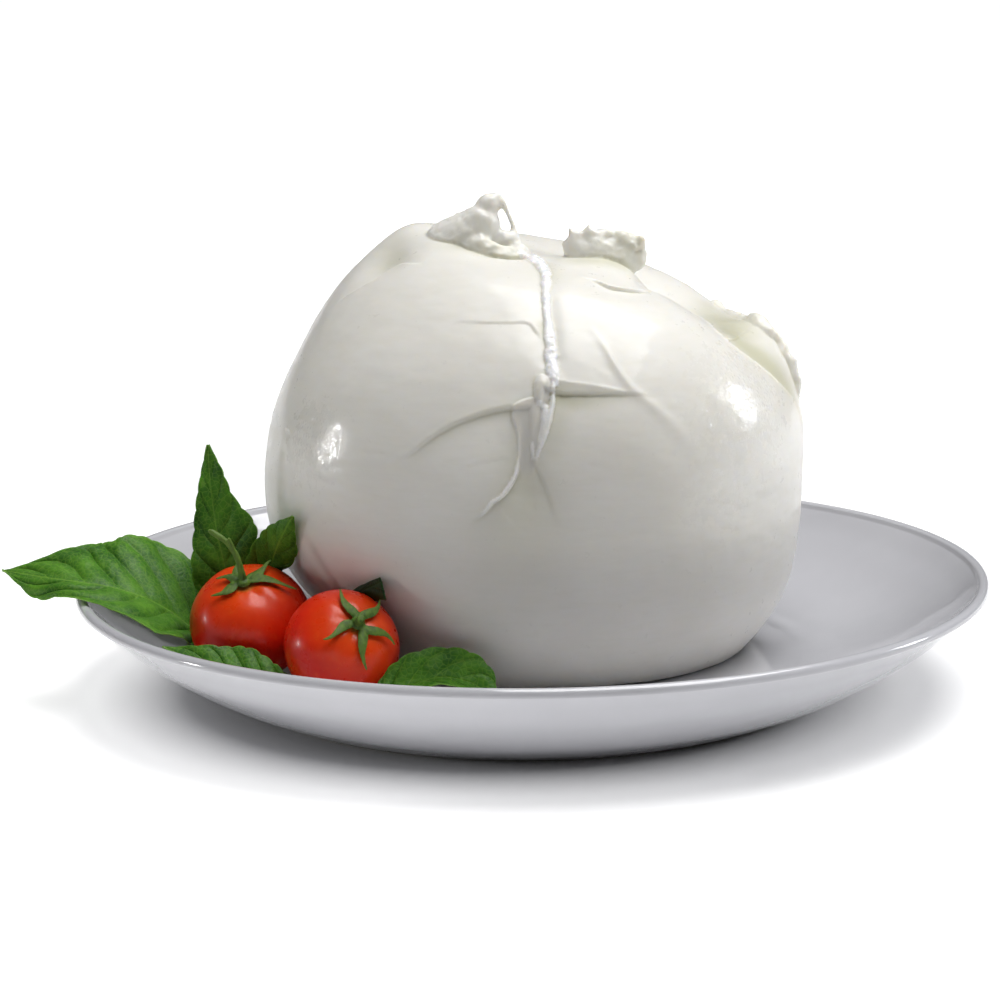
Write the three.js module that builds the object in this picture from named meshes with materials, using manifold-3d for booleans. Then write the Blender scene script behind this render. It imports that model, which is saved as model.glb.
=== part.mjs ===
// A ball of buffalo mozzarella on a white coupe plate, with two cherry tomatoes and loose basil leaves.
// Millimetres, +Z up. All pieces are laid out about the plate's axis, with z = 0 on the table, and the whole
// is then slid along X so that the middle of its footprint is the origin. -Y is the front.
import * as THREE from 'three';
import { mergeVertices } from 'three/addons/utils/BufferGeometryUtils.js';
import Module from 'manifold-3d';

const wasm = await Module();
wasm.setup();

// ---- Driving dimensions ----

const GAP = 0.3; // clearance left between pieces that rest on each other

const PLATE_RADIUS = 110;
const PLATE_HEIGHT = 27.5;
const PLATE_FLOOR = 7.6; // height of the level inside
const FLOOR_RADIUS = 64; // where the inside starts to rise
const FOOT_RADIUS = 69.5;
const FOOT_WIDTH = 6.5;
const FOOT_RECESS = 2.5; // how far the underside is set back inside the foot ring
const PLATE_SIDES = 60;

const BALL_CENTRE = new THREE.Vector3(0.6, 12, 50);
const BALL_HALF = { x: 66, y: 64, z: 60 }; // half-widths before the swells
const BALL_FULLNESS = 2.2; // exponent: 2 is an ellipsoid, more is squarer
const BALL_BOTTOM = PLATE_FLOOR + GAP + 0.1;
const BALL_DETAIL = 12;

const TOMATO_LEFT = { centre: [-67.3, -22.4, 22.05], radius: 13.9, tilt: 30, turn: -8 };
const TOMATO_RIGHT = { centre: [-44.4, -41.9, 20.75], radius: 13.1, tilt: 51, turn: 27 };
const TOMATO_SQUASH = 0.92; // height over width

const LEAF_THICKNESS = 0.8;
const SEPAL_THICKNESS = 0.8;
const SEPAL_LIFT = 0.75; // clearance between a sepal and the tomato's skin

const IVORY = '#ebe8df';
const PORCELAIN = '#d9d9de';
const TOMATO_RED = '#cf2a12';
const STALK_GREEN = '#5d8a2c';
const LEAF_GREEN = '#3f8a26';
const DARK_LEAF_GREEN = '#1d4a17';

// ---- Small helpers ----

const { degToRad, lerp, clamp, smoothstep } = THREE.MathUtils;

function bell(distance, width) {
  return Math.exp(-((distance / width) ** 2));
}

function closed(geometry) {
  const bare = geometry.clone();
  bare.deleteAttribute('normal');
  bare.deleteAttribute('uv');
  return mergeVertices(bare, 1e-4);
}

function reshape(geometry, place) {
  const merged = closed(geometry);
  const positions = merged.getAttribute('position');
  const point = new THREE.Vector3();
  for (let i = 0; i < positions.count; i += 1) {
    point.fromBufferAttribute(positions, i);
    positions.setXYZ(i, ...place(point.clone()).toArray());
  }
  return merged;
}

function join(geometries) {
  const solids = geometries.map((geometry) => {
    const merged = closed(geometry);
    const vertProperties = Float32Array.from(merged.getAttribute('position').array);
    const triVerts = Uint32Array.from(merged.getIndex().array);
    return new wasm.Manifold(new wasm.Mesh({ numProp: 3, vertProperties, triVerts }));
  });
  const mesh = solids.reduce((whole, solid) => whole.add(solid)).getMesh();
  const joined = new THREE.BufferGeometry();
  joined.setAttribute('position', new THREE.BufferAttribute(Float32Array.from(mesh.vertProperties), 3));
  joined.setIndex([...mesh.triVerts]);
  return joined;
}

function between(values, share) {
  const place = clamp(share, 0, 1) * (values.length - 1);
  const index = Math.min(Math.floor(place), values.length - 2);
  return lerp(values[index], values[index + 1], smoothstep(place - index, 0, 1) * 0.5 + (place - index) * 0.5);
}

function piece(name, geometry, color, roughness) {
  geometry.computeVertexNormals();
  const mesh = new THREE.Mesh(geometry, new THREE.MeshStandardMaterial({ color, roughness, metalness: 0 }));
  mesh.name = name;
  return mesh;
}

// ---- Plate ----

// The outside leaves the foot in one low curve, and the inside follows it a wall's thickness above.
function plate() {
  const lip = 1.5; // radius of the rolled edge
  const wallRadius = PLATE_RADIUS - lip;
  const outside = new THREE.SplineCurve([
    new THREE.Vector2(FOOT_RADIUS + 3, 1.6),
    new THREE.Vector2(84.2, 7),
    new THREE.Vector2(97, 15),
    new THREE.Vector2(105, 21.5),
    new THREE.Vector2(wallRadius + lip * 0.95, PLATE_HEIGHT - lip * 1.3),
  ]);
  const inside = new THREE.SplineCurve([
    new THREE.Vector2(wallRadius - lip * 0.9, PLATE_HEIGHT - lip * 0.8),
    new THREE.Vector2(101, 20.9),
    new THREE.Vector2(90, 13.8),
    new THREE.Vector2(76, 9),
    new THREE.Vector2(FLOOR_RADIUS, PLATE_FLOOR),
  ]);
  const edge = [60, 110].map((angle) => new THREE.Vector2(
    wallRadius + lip * Math.cos(degToRad(angle)),
    PLATE_HEIGHT - lip + lip * Math.sin(degToRad(angle)),
  ));
  edge[1].y = PLATE_HEIGHT;
  const profile = [
    new THREE.Vector2(0, FOOT_RECESS),
    new THREE.Vector2(FOOT_RADIUS - FOOT_WIDTH, FOOT_RECESS),
    new THREE.Vector2(FOOT_RADIUS - FOOT_WIDTH + 0.6, 0),
    new THREE.Vector2(FOOT_RADIUS, 0),
    ...outside.getPoints(6),
    ...edge,
    ...inside.getPoints(6),
    new THREE.Vector2(0, PLATE_FLOOR),
  ];
  const lathe = new THREE.LatheGeometry(profile, PLATE_SIDES);
  lathe.rotateX(Math.PI / 2);
  return piece('plate', closed(lathe), PORCELAIN, 0.2);
}

// ---- Ball of cheese ----

// A direction seen from the ball's centre: azimuth 0 is the front and 90 the right, elevation 90 is up.
function heading(azimuth, elevation) {
  const a = degToRad(azimuth);
  const e = degToRad(elevation);
  return new THREE.Vector3(Math.cos(e) * Math.sin(a), -Math.cos(e) * Math.cos(a), Math.sin(e));
}

// Broad swells and hollows that make the ball lopsided: where, how wide in degrees and how high.
const SWELLS = [
  { at: heading(-90, 62), spread: 26, height: 6 }, // high left shoulder
  { at: heading(-90, 35), spread: 24, height: -3.2 },
  { at: heading(-72, -42), spread: 24, height: -7 }, // tucked-in lower left
  { at: heading(-38, -27), spread: 17, height: -5 }, // hollow beside the right tomato
  { at: heading(90, 68), spread: 24, height: -4.2 },
  { at: heading(90, 45), spread: 22, height: -10.3 }, // long slope on the right
  { at: heading(90, 22), spread: 22, height: 4.2 },
  { at: heading(90, 0), spread: 22, height: -2.6 },
  { at: heading(90, -25), spread: 26, height: 1.8 },
  { at: heading(0, 88), spread: 26, height: -4.2 }, // sunk crown
  { at: heading(88, 30), spread: 9, height: 3 }, // under the torn lip
  { at: heading(-59, 57), spread: 5, height: -2.5 }, // dimple in the shoulder
];

// Folds in the skin, along routes of [azimuth, elevation]. Each has a raised line, and the skin to the right
// of its direction of travel may sit lower than the left by a step that fades away from the line.
const FOLDS = [
  { name: 'right ledge', route: [[5, 30], [15, 28.3], [27, 24]], width: 2.5, height: 0.8, step: 1.6, reach: 9 },
  { name: 'left ledge', route: [[-28, 13.7], [-18, 19.7], [-1, 25]], width: 2.5, height: 0.8, step: 1.6, reach: 9 },
  { name: 'brow', route: [[17, 40], [21, 31], [29, 21], [40, 8]], width: 3, height: 1, step: -1, reach: 12 },
  { name: 'shoulder', route: [[-73, 40], [-60, 49], [-47, 60]], width: 4, height: 1.6, step: 0, reach: 9 },
  { name: 'drip hollow', route: [[-4, 22], [-2, 8], [-3, 0]], width: 7, height: -1.6, step: 0, reach: 9 },
  { name: 'gully', route: [[104, 50], [84, 35], [72, 28], [78, 18]], width: 5, height: -2.6, step: 0, reach: 9 },
  { name: 'under the horn', route: [[-48, 63], [-25, 62], [-9, 64]], width: 4, height: -2, step: 0, reach: 9 },
];
for (const fold of FOLDS) {
  fold.points = fold.route.map(([azimuth, elevation]) => heading(azimuth, elevation));
}

// Distance in millimetres from a direction to a fold's line, signed by its side, with the share travelled.
function fromFold(direction, points) {
  const best = { distance: Infinity, side: 1, share: 0 };
  const nearest = new THREE.Vector3();
  for (let i = 0; i < points.length - 1; i += 1) {
    const segment = new THREE.Line3(points[i], points[i + 1]);
    const share = segment.closestPointToPointParameter(direction, true);
    segment.at(share, nearest);
    const distance = direction.distanceTo(nearest) * BALL_HALF.y;
    if (distance < best.distance) {
      const across = new THREE.Vector3().subVectors(points[i + 1], points[i]).cross(direction);
      best.distance = distance;
      best.side = Math.sign(across.dot(new THREE.Vector3().subVectors(direction, nearest))) || 1;
      best.share = (i + share) / (points.length - 1);
    }
  }
  return best;
}

function foldHeight(direction, fold) {
  const { distance, side, share } = fromFold(direction, fold.points);
  const fade = smoothstep(share, -0.05, 0.15) * (1 - smoothstep(share, 0.85, 1.05));
  const drop = fold.step * side * Math.tanh(distance / fold.width) * bell(distance, fold.reach);
  return fade * (fold.height * bell(distance, fold.width) - drop * 0.5);
}

function ballRadius(direction) {
  const shares = ['x', 'y', 'z'].map((axis) => Math.abs(direction[axis] / BALL_HALF[axis]) ** BALL_FULLNESS);
  let radius = (shares[0] + shares[1] + shares[2]) ** (-1 / BALL_FULLNESS);
  for (const swell of SWELLS) {
    const angle = direction.angleTo(swell.at) * THREE.MathUtils.RAD2DEG;
    radius += swell.height * bell(angle, swell.spread);
  }
  for (const fold of FOLDS) {
    radius += foldHeight(direction, fold);
  }
  return radius;
}

function onBall(direction, lift = 0) {
  return BALL_CENTRE.clone().addScaledVector(direction, ballRadius(direction) + lift);
}

function ballBody() {
  const sphere = new THREE.IcosahedronGeometry(1, BALL_DETAIL);
  return reshape(sphere, (direction) => {
    const point = onBall(direction.normalize());
    point.z = Math.max(point.z, BALL_BOTTOM);
    return point;
  });
}

// A strand along a smooth line of points: an upright unit cylinder laid onto the line. flat is how much
// lower than wide its section is, measured away from the ball's centre.
function strand(points, halfWidths, { flat = 1, steps = 12, sides = 6 } = {}) {
  const line = new THREE.CatmullRomCurve3(points);
  const rod = new THREE.CylinderGeometry(1, 1, 1, sides, steps);
  return reshape(rod, (spot) => {
    const share = spot.y + 0.5;
    const centre = line.getPoint(share);
    const along = line.getTangent(share);
    const out = new THREE.Vector3().subVectors(centre, BALL_CENTRE).normalize();
    const side = new THREE.Vector3().crossVectors(along, out).normalize();
    out.crossVectors(side, along).normalize();
    const half = between(halfWidths, share);
    return centre.addScaledVector(side, spot.x * half).addScaledVector(out, spot.z * half * flat);
  });
}

// A strand that lies on the skin, along a route of [azimuth, elevation, lift].
function skinStrand(route, halfWidths, options) {
  const points = route.map(([azimuth, elevation, lift]) => onBall(heading(azimuth, elevation), lift));
  return strand(points, halfWidths, options);
}

// A torn lump: a faceted ball stretched to three half-sizes and turned about the upright.
function lump([x, y, z], [halfX, halfY, halfZ], turn = 0) {
  const ball = new THREE.IcosahedronGeometry(1, 1);
  ball.scale(halfX, halfY, halfZ);
  ball.rotateZ(degToRad(turn));
  ball.translate(x, y, z);
  return ball;
}

// A torn point of curd: a narrow cone from its foot to its tip.
function spike(foot, tip, radius) {
  const from = new THREE.Vector3(...foot);
  const to = new THREE.Vector3(...tip);
  const cone = new THREE.ConeGeometry(radius, from.distanceTo(to), 6);
  cone.translate(0, from.distanceTo(to) / 2, 0);
  const rise = new THREE.Vector3(0, 1, 0);
  cone.applyQuaternion(new THREE.Quaternion().setFromUnitVectors(rise, to.clone().sub(from).normalize()));
  cone.translate(...foot);
  return cone;
}

const HORN_TIP = [-7, 1, 119.6];

// The knot where the ball was pulled off: a leaning horn with a loose strand at its side.
function horn() {
  const ridge = [[-31, 3, 101], [-20, 3, 104.5], [-13.5, 2, 108.3], [-9.8, 1.5, 113.6], HORN_TIP];
  const string = [[-6.6, 0.5, 117.6], [-3.4, 0.2, 116], [-1.6, 0, 112.6], [-1, -0.5, 108.5], [-1.6, -1, 103.5]];
  return [
    strand(ridge.map((spot) => new THREE.Vector3(...spot)), [5, 7.5, 6.5, 4, 1.2], { steps: 9, sides: 9 }),
    strand(string.map((spot) => new THREE.Vector3(...spot)), [0.9, 0.9, 1.1, 1.5, 1.8], { steps: 7, sides: 6 }),
    lump([-6, -6, 106], [5, 5, 4.2]),
  ];
}

// The torn tuft to the right of the horn, with a few points of curd standing up from it.
function tuft() {
  return [
    lump([14, 8, 104.5], [5.5, 6, 4.8]),
    lump([20, 9, 103.8], [6, 6.5, 5], 20),
    lump([24.6, 9, 101.5], [4.6, 6, 5]),
    spike([13.6, 6, 106], [11.8, 4, 111.6], 2.4),
    spike([16.5, 7, 106.6], [15.4, 5, 112], 2.2),
    spike([26, 8, 102], [27.4, 7, 106.6], 1.8),
  ];
}

// The glossy seam down the front, its bead and the drip below it.
function seam() {
  return [
    skinStrand([[7, 74, 0], [6.7, 62.7, 0.2], [4.9, 50, 0.3], [4.4, 41.7, 0.3], [4.3, 34.4, 0.4], [4.5, 29.5, 0.2]],
      [2.6, 1.6, 1.3, 1.5, 2, 1.6], { flat: 0.9, steps: 12 }),
    skinStrand([[3.6, 29.6, -0.2], [2.5, 27.4, 0.6], [1.6, 25, 0]], [1.6, 2.4, 1.8], { steps: 4 }),
    skinStrand([[0.8, 25.4, 0.2], [2, 20.7, 0.5], [1.4, 15.7, 0.3], [-1.1, 10.7, 0], [-4.2, 5.6, -0.5], [-7.4, 2.6, -1]],
      [1.8, 2.2, 1.8, 1.3, 1.1, 0.8], { flat: 0.9, steps: 12 }),
    skinStrand([[-3.4, 23.6, -0.6], [-2.6, 19, -0.3], [-1.8, 13, -0.6]], [1.2, 2.6, 1.2], { flat: 0.5, steps: 6 }),
    skinStrand([[1.6, 13.5, -0.2], [2.6, 8, -0.1], [4.6, 3, -0.8]], [1, 1.2, 0.7], { flat: 0.8, steps: 5 }),
  ];
}

// Thin raised edges: the two ledges beside the bead, the brow fold, and the torn lip over the gully.
function edges() {
  return [
    skinStrand([[4, 30, -0.4], [15, 28.4, 0], [27.5, 24, -0.6]], [1.2, 1.5, 0.8], { flat: 0.7, steps: 8 }),
    skinStrand([[0.5, 25.4, -0.2], [-11.8, 22.8, 0], [-18.3, 19.8, 0], [-29, 13.4, -0.7]], [1.2, 1.5, 1.4, 0.8],
      { flat: 0.7, steps: 10 }),
    skinStrand([[100, 52, -0.5], [82, 41, 0], [68, 34, 0], [61, 27.5, 0], [69, 19, -0.2], [77, 12, -1]],
      [1.6, 2.2, 2, 2.2, 2, 1.2], { flat: 0.7, steps: 14 }),
    skinStrand([[112, 38, -0.6], [95, 34, 0], [88, 28, 0.4], [86, 20, 0], [85, 13, -1]],
      [1.6, 2.4, 2.6, 2.2, 1.2], { flat: 0.9, steps: 12 }),
  ];
}

function cheese() {
  return piece('cheese', join([ballBody(), ...horn(), ...tuft(), ...seam(), ...edges()]), IVORY, 0.35);
}

// ---- Tomatoes and their stalks ----

// Axes of a tomato: its stem points up, tipped towards the front by tilt and then turned to the right.
function tomatoAxes({ tilt, turn }) {
  const stem = new THREE.Vector3(0, -Math.sin(degToRad(tilt)), Math.cos(degToRad(tilt)));
  stem.applyAxisAngle(new THREE.Vector3(0, 0, 1), degToRad(turn));
  const right = new THREE.Vector3(0, 0, 1).cross(stem).normalize();
  const forward = new THREE.Vector3().crossVectors(stem, right);
  return { stem, right, forward };
}

// A point of the skin: angle is measured from the stem, and around goes about it from the tomato's right.
function onTomato(tomato, angle, around, lift = 0) {
  const { stem, right, forward } = tomatoAxes(tomato);
  const dimple = 0.1 * bell(angle, 0.32);
  const ribs = 0.012 * Math.cos(5 * around + 1) * bell(angle - 0.6, 0.5) * smoothstep(angle, 0, 0.4);
  const scale = tomato.radius * (1 - dimple + ribs) + lift;
  return new THREE.Vector3(...tomato.centre)
    .addScaledVector(stem, scale * TOMATO_SQUASH * Math.cos(angle))
    .addScaledVector(right, scale * Math.sin(angle) * Math.cos(around))
    .addScaledVector(forward, scale * Math.sin(angle) * Math.sin(around));
}

function tomato(name, shape) {
  const sphere = new THREE.SphereGeometry(1, 22, 13);
  const skin = reshape(sphere, (spot) => {
    const angle = Math.acos(clamp(spot.y, -1, 1));
    return onTomato(shape, angle, Math.atan2(-spot.z, spot.x));
  });
  return piece(name, skin, TOMATO_RED, 0.25);
}

// One sepal: a narrow pointed strip that lies just off the skin, from the stem out to its reach in radians.
function sepal(shape, around, reach, curl) {
  const strip = new THREE.BoxGeometry(1, 1, 1, 4, 2, 1);
  return reshape(strip, (spot) => {
    const share = spot.x + 0.5;
    const angle = lerp(0.12, reach, share);
    const halfWidth = 0.135 * (1 - share) ** 0.6 + 0.012;
    const offset = (spot.y * 2 * halfWidth) / Math.max(Math.sin(angle), 0.16);
    const lift = SEPAL_LIFT + (spot.z + 0.5) * SEPAL_THICKNESS + curl * share ** 2;
    return onTomato(shape, angle, around + offset, lift);
  });
}

// Sepals round a small hub in the dimple, with stalks whose routes are measured from the hub.
function calyx(name, shape, sepals, stalks) {
  const hub = [SEPAL_LIFT, SEPAL_LIFT + SEPAL_THICKNESS * 2].map((lift) => onTomato(shape, 0, 0, lift));
  const parts = sepals.map(({ around, reach, curl }) => sepal(shape, degToRad(around), reach, curl));
  parts.push(strand(hub, [2.4, 1.6], { steps: 1, sides: 8 }));
  for (const { route, halfWidths, steps } of stalks) {
    const points = route.map((offset) => hub[0].clone().add(new THREE.Vector3(...offset)));
    parts.push(strand(points, halfWidths, { steps, sides: 6 }));
  }
  return piece(name, join(parts), STALK_GREEN, 0.6);
}

// ---- Basil ----

// A thin wavy leaf. face is where its upper side looks. Each half has its own widths along the spine and its
// own cups, which lift it from the midrib, and the waves grow towards the edge. Of the two halves, the left
// comes first, as seen from above by someone who travels from the leaf's foot to its tip.
function leaf(name, shape, color = LEAF_GREEN) {
  const { spine, left, right, face, cups, wave, waves = 3, steps = 10, across = 6 } = shape;
  const line = new THREE.CatmullRomCurve3(spine.map((spot) => new THREE.Vector3(...spot)));
  const upward = new THREE.Vector3(...face).normalize();
  const sheet = new THREE.BoxGeometry(1, 1, 1, steps, across, 1);
  const blade = reshape(sheet, (spot) => {
    const share = spot.x + 0.5;
    const sideways = spot.y * 2;
    const along = line.getTangent(share);
    const side = new THREE.Vector3().crossVectors(upward, along).normalize();
    const normal = new THREE.Vector3().crossVectors(along, side).normalize();
    const half = between(sideways > 0 ? left : right, share) * Math.abs(sideways);
    const bend = degToRad(between(cups[sideways > 0 ? 0 : 1], share)) * (0.6 + 0.4 * Math.abs(sideways));
    const ripple = wave * sideways ** 2 * Math.sin(share * waves * 2 * Math.PI + sideways * 1.3);
    return line.getPoint(share)
      .addScaledVector(side, Math.sign(sideways) * half * Math.cos(bend))
      .addScaledVector(normal, half * Math.sin(bend) + ripple + spot.z * LEAF_THICKNESS);
  });
  return piece(name, blade, color, 0.5);
}

const LEAVES = {
  leaf_rim: {
    spine: [[-75, -2, 10.8], [-81.9, -7, 16.1], [-87.4, -11, 21.8], [-93.7, -14, 26.1], [-100.5, -16, 28.9],
      [-108.5, -16, 30.4], [-117.4, -13, 31.1], [-126.8, -9, 31.9]],
    left: [0.8, 8, 16, 20.5, 15, 7.8, 5.2, 0.5],
    right: [0.8, 14.5, 21, 21.3, 20, 18.4, 11.6, 0.5],
    face: [0, -0.42, 0.9],
    cups: [[0, 5, 14, 16, 21, 8, -20, -10], [10, 19, 8, 3, -3, -6, -4, 0]],
    wave: 0.7,
    steps: 14,
    across: 8,
  },
  leaf_tall: {
    spine: [[-70, -6, 10], [-72, -6, 20], [-73.8, -5.5, 31.2], [-75.6, -4, 39.3], [-76.7, -2, 47], [-77.4, 0, 54],
      [-77.6, 1, 60]],
    left: [0.8, 6.5, 8, 6, 3.8, 2, 0.5],
    right: [0.8, 3, 4, 9, 5, 3.6, 0.5],
    face: [-0.1, -1, 0.1],
    cups: [[8, 8], [8, 8]],
    wave: 0.6,
    steps: 12,
  },
  leaf_folded: {
    spine: [[-65.3, -1, 10], [-64.2, -6, 23], [-62.7, -10.5, 31], [-60.5, -19, 38.2], [-58.1, -25, 43.9],
      [-55.9, -28.5, 48.2]],
    left: [0.8, 4.4, 6.6, 5.7, 3.1, 0.5],
    right: [0.8, 1.6, 1.8, 4.9, 3.1, 0.5],
    face: [-0.6, -0.8, 0],
    cups: [[-20, 9, 17, 0, -6, -6], [-3, -7, 0, -20, -35, -35]],
    wave: 0.3,
  },
  leaf_dark: {
    spine: [[-50, -24, 10], [-50.5, -26, 20], [-49.5, -27.5, 27], [-46.5, -29.8, 31], [-43.2, -32.4, 32.2],
      [-39.6, -36.2, 33.5], [-35, -41.8, 35.6]],
    left: [0.8, 1.5, 1.5, 1, 1, 1.2, 1],
    right: [0.8, 1.5, 1.5, 1, 1, 1.2, 2.8],
    face: [-0.7, -0.7, 0.1],
    cups: [[0, 0], [0, 0]],
    wave: 0.1,
    steps: 8,
    across: 4,
  },
  leaf_front: {
    spine: [[-53, -48, 10.4], [-61, -47.5, 12], [-69, -45.5, 14.4], [-76, -43.5, 16.6], [-83.4, -40, 18.4]],
    left: [0.8, 2.5, 3.5, 3, 0.5],
    right: [0.8, 5, 6.3, 4.5, 0.5],
    face: [0, -0.62, 0.78],
    cups: [[38, 38], [6, 6]],
    wave: 0.4,
  },
  leaf_right: {
    spine: [[-35, -54.5, 9.4], [-31, -51.5, 12], [-22, -50.5, 14.8], [-14, -52, 13.5], [-9, -54.5, 9.8]],
    left: [0.8, 6, 7.4, 6, 0.5],
    right: [0.8, 4, 5, 4, 0.5],
    face: [0, -0.8, 0.6],
    cups: [[4, 4], [50, 50]],
    wave: 0.4,
  },
};

// ---- The whole ----

const group = new THREE.Group();
group.add(plate(), cheese());
group.add(tomato('tomato_left', TOMATO_LEFT), tomato('tomato_right', TOMATO_RIGHT));
group.add(calyx('calyx_left', TOMATO_LEFT, [
  { around: 8, reach: 0.85, curl: 0.8 },
  { around: 52, reach: 0.6, curl: 1.2 },
  { around: 115, reach: 0.5, curl: 0.8 },
  { around: 166, reach: 0.45, curl: 0.6 },
  { around: 216, reach: 0.55, curl: 0.3 },
], [
  { route: [[0, 0, 0.4], [-1.3, 0, 5.8], [-4.3, 0.3, 10.2], [-8, 1, 12.4]], halfWidths: [1.4, 0.9, 0.85, 1], steps: 7 },
  { route: [[-1.6, 0, 6.4], [-3.3, -0.5, 11]], halfWidths: [0.7, 0.5], steps: 1 },
]));
group.add(calyx('calyx_right', TOMATO_RIGHT, [
  { around: 98, reach: 0.72, curl: 0.8 },
  { around: 34, reach: 0.7, curl: 0.6 },
  { around: -36, reach: 0.72, curl: 0.6 },
  { around: -92, reach: 0.8, curl: 0.2 },
  { around: 192, reach: 0.66, curl: 0.8 },
], [
  { route: [[0, 0, 0], [0.9, -2.1, 1.8]], halfWidths: [1.2, 0.9], steps: 1 },
]));
for (const [name, shape] of Object.entries(LEAVES)) {
  group.add(leaf(name, shape, name === 'leaf_dark' ? DARK_LEAF_GREEN : LEAF_GREEN));
}

const footprint = new THREE.Box3().setFromObject(group);
group.position.x = -(footprint.min.x + footprint.max.x) / 2;
group.updateMatrixWorld(true);

export default group;
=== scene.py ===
# Looks of a ball of buffalo mozzarella on a white coupe plate, with two cherry tomatoes and loose basil leaves.
# Forms are laid out in millimetres about the plate's axis, with z = 0 on the table, as the solids are.
# -Y is the front.
import itertools
import math

import bpy
import numpy as np
from mathutils import Matrix, Vector


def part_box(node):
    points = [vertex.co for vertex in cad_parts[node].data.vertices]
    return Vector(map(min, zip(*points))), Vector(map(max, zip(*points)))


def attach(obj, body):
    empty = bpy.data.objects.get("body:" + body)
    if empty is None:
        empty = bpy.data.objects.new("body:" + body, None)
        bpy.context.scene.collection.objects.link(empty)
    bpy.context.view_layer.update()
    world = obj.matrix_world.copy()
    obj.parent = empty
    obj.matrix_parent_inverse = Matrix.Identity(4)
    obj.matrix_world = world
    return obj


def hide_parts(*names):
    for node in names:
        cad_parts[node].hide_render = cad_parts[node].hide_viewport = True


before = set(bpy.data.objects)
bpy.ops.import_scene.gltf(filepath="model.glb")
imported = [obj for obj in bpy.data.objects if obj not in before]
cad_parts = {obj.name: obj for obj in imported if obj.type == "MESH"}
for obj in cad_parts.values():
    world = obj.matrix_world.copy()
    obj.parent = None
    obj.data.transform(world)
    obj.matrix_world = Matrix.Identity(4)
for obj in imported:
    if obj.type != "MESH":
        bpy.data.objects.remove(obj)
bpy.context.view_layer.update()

MM = 0.001
plate_low, plate_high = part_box("plate")
SLIDE = (plate_low.x + plate_high.x) / 2 / MM  # the layout's slide along X

# ---- Numbers shared with the solids ----

PLATE_RADIUS = 110
PLATE_HEIGHT = 27.5
PLATE_FLOOR = 7.6
FLOOR_RADIUS = 64
FOOT_RADIUS = 69.5
FOOT_WIDTH = 6.5
FOOT_RECESS = 2.5

BALL_CENTRE = np.array([0.6, 12, 50])
BALL_HALF = np.array([66, 64, 60])
BALL_FULLNESS = 2.2
BALL_BOTTOM = 8.0

TOMATOES = {
    "left": {"centre": [-66.8, -22.4, 21.8], "radius": 14.4, "tilt": 30, "turn": -8},
    "right": {"centre": [-44.4, -41.9, 20.3], "radius": 13.5, "tilt": 51, "turn": 27},
}
TOMATO_SQUASH = 0.9

# ---- Small helpers ----


def bell(distance, width):
    return np.exp(-((distance / width) ** 2))


def ease(values, low, high):
    share = np.clip((values - low) / (high - low), 0, 1)
    return share * share * (3 - 2 * share)


def unit(vectors):
    return vectors / np.linalg.norm(vectors, axis=-1, keepdims=True)


def lattice(cells, seed):
    """A steady pseudo-random value in -1..1 for each whole-number cell."""
    mixed = cells[..., 0] * 73856093 ^ cells[..., 1] * 19349663 ^ cells[..., 2] * 83492791
    mixed = mixed ^ (seed + 7) * 2654435
    mixed = (mixed ^ (mixed >> 13)) * 1274126177
    mixed = mixed ^ (mixed >> 16)
    return (mixed & 0xFFFF) / 32767.5 - 1


def noise(points, size, seed=0):
    place = np.asarray(points, float) / size
    cells = np.floor(place).astype(np.int64)
    part = place - cells
    part = part * part * (3 - 2 * part)
    total = 0
    for corner in itertools.product((0, 1), repeat=3):
        weight = np.prod(np.where(corner, part, 1 - part), axis=-1)
        total = total + weight * lattice(cells + np.array(corner), seed)
    return total


def layered(points, size, layers, seed=0):
    return sum(noise(points, size / 2**k, seed + k) / 2**k for k in range(layers))


def through(points, shares):
    """A smooth curve through points, in numbers of any size, at shares of the way from first to last."""
    points = np.asarray(points, float)
    flat = points.ndim == 1
    if flat:
        points = points[:, None]
    spans = len(points) - 1
    place = np.clip(np.asarray(shares, float), 0, 1) * spans
    start = np.minimum(np.floor(place).astype(int), spans - 1)
    t = (place - start)[..., None]
    padded = np.concatenate([[2 * points[0] - points[1]], points, [2 * points[-1] - points[-2]]])
    a, b, c, d = (padded[start + k] for k in range(4))
    found = 0.5 * (2 * b + (c - a) * t + (2 * a - 5 * b + 4 * c - d) * t**2 + (3 * b - a - 3 * c + d) * t**3)
    return found[..., 0] if flat else found


def run_of(points, shares):
    """Unit direction of travel along that curve."""
    step = 1e-4
    return unit(through(points, np.minimum(shares + step, 1)) - through(points, np.maximum(shares - step, 0)))


def make(name, points, faces, fields=None):
    """A smooth-shaded object from points in millimetres, with a number a point for each named field."""
    mesh = bpy.data.meshes.new(name)
    placed = (np.asarray(points, float) + [SLIDE, 0, 0]) * MM
    mesh.from_pydata(placed.tolist(), [], [tuple(int(i) for i in face) for face in faces])
    mesh.update()
    for field, values in (fields or {}).items():
        mesh.attributes.new(field, "FLOAT", "POINT").data.foreach_set("value", np.asarray(values, np.float32))
    mesh.polygons.foreach_set("use_smooth", np.ones(len(mesh.polygons), bool))
    thing = bpy.data.objects.new(name, mesh)
    bpy.context.scene.collection.objects.link(thing)
    return thing


def grid_faces(rows, columns, wrap, first=0, flip=False):
    """Quads between rows of points, each row after the last, its ends met if wrap."""
    i, j = np.meshgrid(np.arange(rows - 1), np.arange(columns if wrap else columns - 1), indexing="ij")
    k = (j + 1) % columns
    quads = np.stack([i * columns + j, i * columns + k, (i + 1) * columns + k, (i + 1) * columns + j], -1)
    quads = quads.reshape(-1, 4) + first
    return quads[:, ::-1] if flip else quads


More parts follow.
